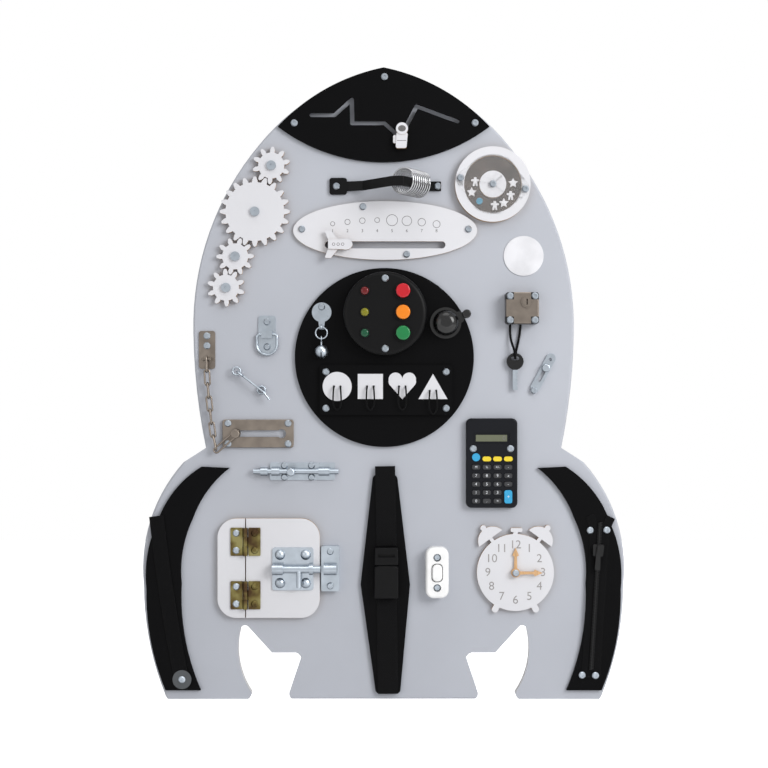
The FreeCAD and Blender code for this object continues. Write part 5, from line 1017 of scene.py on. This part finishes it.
def pale(name, glow):
    """Pale backdrop: matt white, with a glow that only camera, glossy and clear rays see."""
    paint = Paint(name, (0.9, 0.9, 0.9, 1), 0.8)
    paint.colour(paint.ramp(paint.noise(3), [(0.3, (0.89, 0.89, 0.89, 1)), (0.7, (0.91, 0.91, 0.91, 1))]))
    rays = paint.add("ShaderNodeLightPath").outputs
    seen = paint.maths("MAXIMUM", rays["Is Camera Ray"], rays["Is Glossy Ray"])
    share = paint.maths("MAXIMUM", seen, rays["Is Transmission Ray"])
    paint.shader.inputs["Emission Color"].default_value = (1, 1, 1, 1)
    paint.links.new(paint.maths("MULTIPLY", share, glow), paint.shader.inputs["Emission Strength"])
    return paint.material


class BOARD_OT_stage(Maker):
    """Floor, soft light, white surroundings and the camera"""
    bl_idname = "board.stage"
    bl_label = "Stage"

    def make(self, looks, soft):
        scene = bpy.context.scene
        low = CAD_BOX[0][2]
        corners = [(x, y, low) for x, y in box_outline(-2.5, 2.5, -2.2, 1.6)]
        floor = add_piece("floor", corners, [(0, 1, 2, 3)], pale("floor_paint", 0.8), None, smooth=False)
        self.surroundings(scene)
        self.lamp("key_light", place=(1.45, -1.5, 0.8), size=1.2, power=34)
        self.lamp("fill_light", place=(-1.7, -2.0, 0.3), size=1.8, power=8)
        self.lamp("top_light", place=(0.1, -0.9, 1.9), size=1.4, power=9)
        self.camera(scene)
        scene.view_settings.view_transform = "Standard"

    def surroundings(self, scene):
        """White to camera, glossy and clear rays, and dimmer to the rest, which carry the room's light."""
        world = bpy.data.worlds.new("white_room")
        world.use_nodes = True
        scene.world = world
        nodes, links = world.node_tree.nodes, world.node_tree.links
        background = nodes["Background"]
        background.inputs["Color"].default_value = (1, 1, 1, 1)
        seen = nodes.new("ShaderNodeLightPath")
        level = nodes.new("ShaderNodeMath")
        level.operation = "MAXIMUM"
        level.inputs[0].default_value = ROOM_LIGHT
        links.new(seen.outputs["Is Camera Ray"], level.inputs[1])
        for ray in ("Is Glossy Ray", "Is Transmission Ray"):
            wider = nodes.new("ShaderNodeMath")
            wider.operation = "MAXIMUM"
            links.new(level.outputs[0], wider.inputs[0])
            links.new(seen.outputs[ray], wider.inputs[1])
            level = wider
        links.new(level.outputs[0], background.inputs["Strength"])

    def lamp(self, name, place, size, power):
        """A round soft light that looks at the board's middle."""
        light = bpy.data.lights.new(name, "AREA")
        light.shape = "DISK"
        light.size = size
        light.energy = power
        holder = bpy.data.objects.new(name, light)
        bpy.context.scene.collection.objects.link(holder)
        holder.location = place
        heading = -np.array(place)
        holder.rotation_euler = (math.acos(-heading[2] / np.linalg.norm(heading)), 0,
                                 math.atan2(heading[1], heading[0]) - math.pi / 2)

    def camera(self, scene):
        """Straight on at the board's middle, 1.6 m from its face, with 0.8506 m across the frame."""
        camera = bpy.data.cameras.new("camera")
        holder = bpy.data.objects.new("camera", camera)
        scene.collection.objects.link(holder)
        reach, frame_width, aim_x, aim_z = 1.6, 0.8506, 0.00044, -0.0011
        camera.sensor_width = 36
        camera.lens = camera.sensor_width * reach / frame_width
        holder.location = (aim_x, -BOARD_FRONT * MM - reach, aim_z)
        holder.rotation_euler = (math.pi / 2, 0, 0)
        scene.camera = holder


MAKERS = (BOARD_OT_paint, BOARD_OT_stage, BOARD_OT_cords, BOARD_OT_straps, BOARD_OT_zip,
          BOARD_OT_porthole, BOARD_OT_lamp, BOARD_OT_marks, BOARD_OT_calculator)


class BOARD_PT_panel(bpy.types.Panel):
    """Colours, sizes and makers of the busy board"""
    bl_idname = "BOARD_PT_panel"
    bl_label = "Busy board"
    bl_space_type = "VIEW_3D"
    bl_region_type = "UI"
    bl_category = "Busy board"

    def draw(self, context):
        for group in (context.scene.board_looks, context.scene.board_soft):
            for name in group.__annotations__:
                self.layout.prop(group, name)
        for maker in MAKERS:
            self.layout.operator(maker.bl_idname)


def register():
    for item in (BoardLooks, SoftSizes) + MAKERS + (BOARD_PT_panel,):
        bpy.utils.register_class(item)
    bpy.types.Scene.board_looks = bpy.props.PointerProperty(type=BoardLooks)
    bpy.types.Scene.board_soft = bpy.props.PointerProperty(type=SoftSizes)


def unregister():
    del bpy.types.Scene.board_looks
    del bpy.types.Scene.board_soft
    for item in reversed((BoardLooks, SoftSizes) + MAKERS + (BOARD_PT_panel,)):
        bpy.utils.unregister_class(item)


def main():
    register()
    for maker in MAKERS:
        group, name = maker.bl_idname.split(".")
        getattr(getattr(bpy.ops, group), name)()


if __name__ == "__main__":
    main()
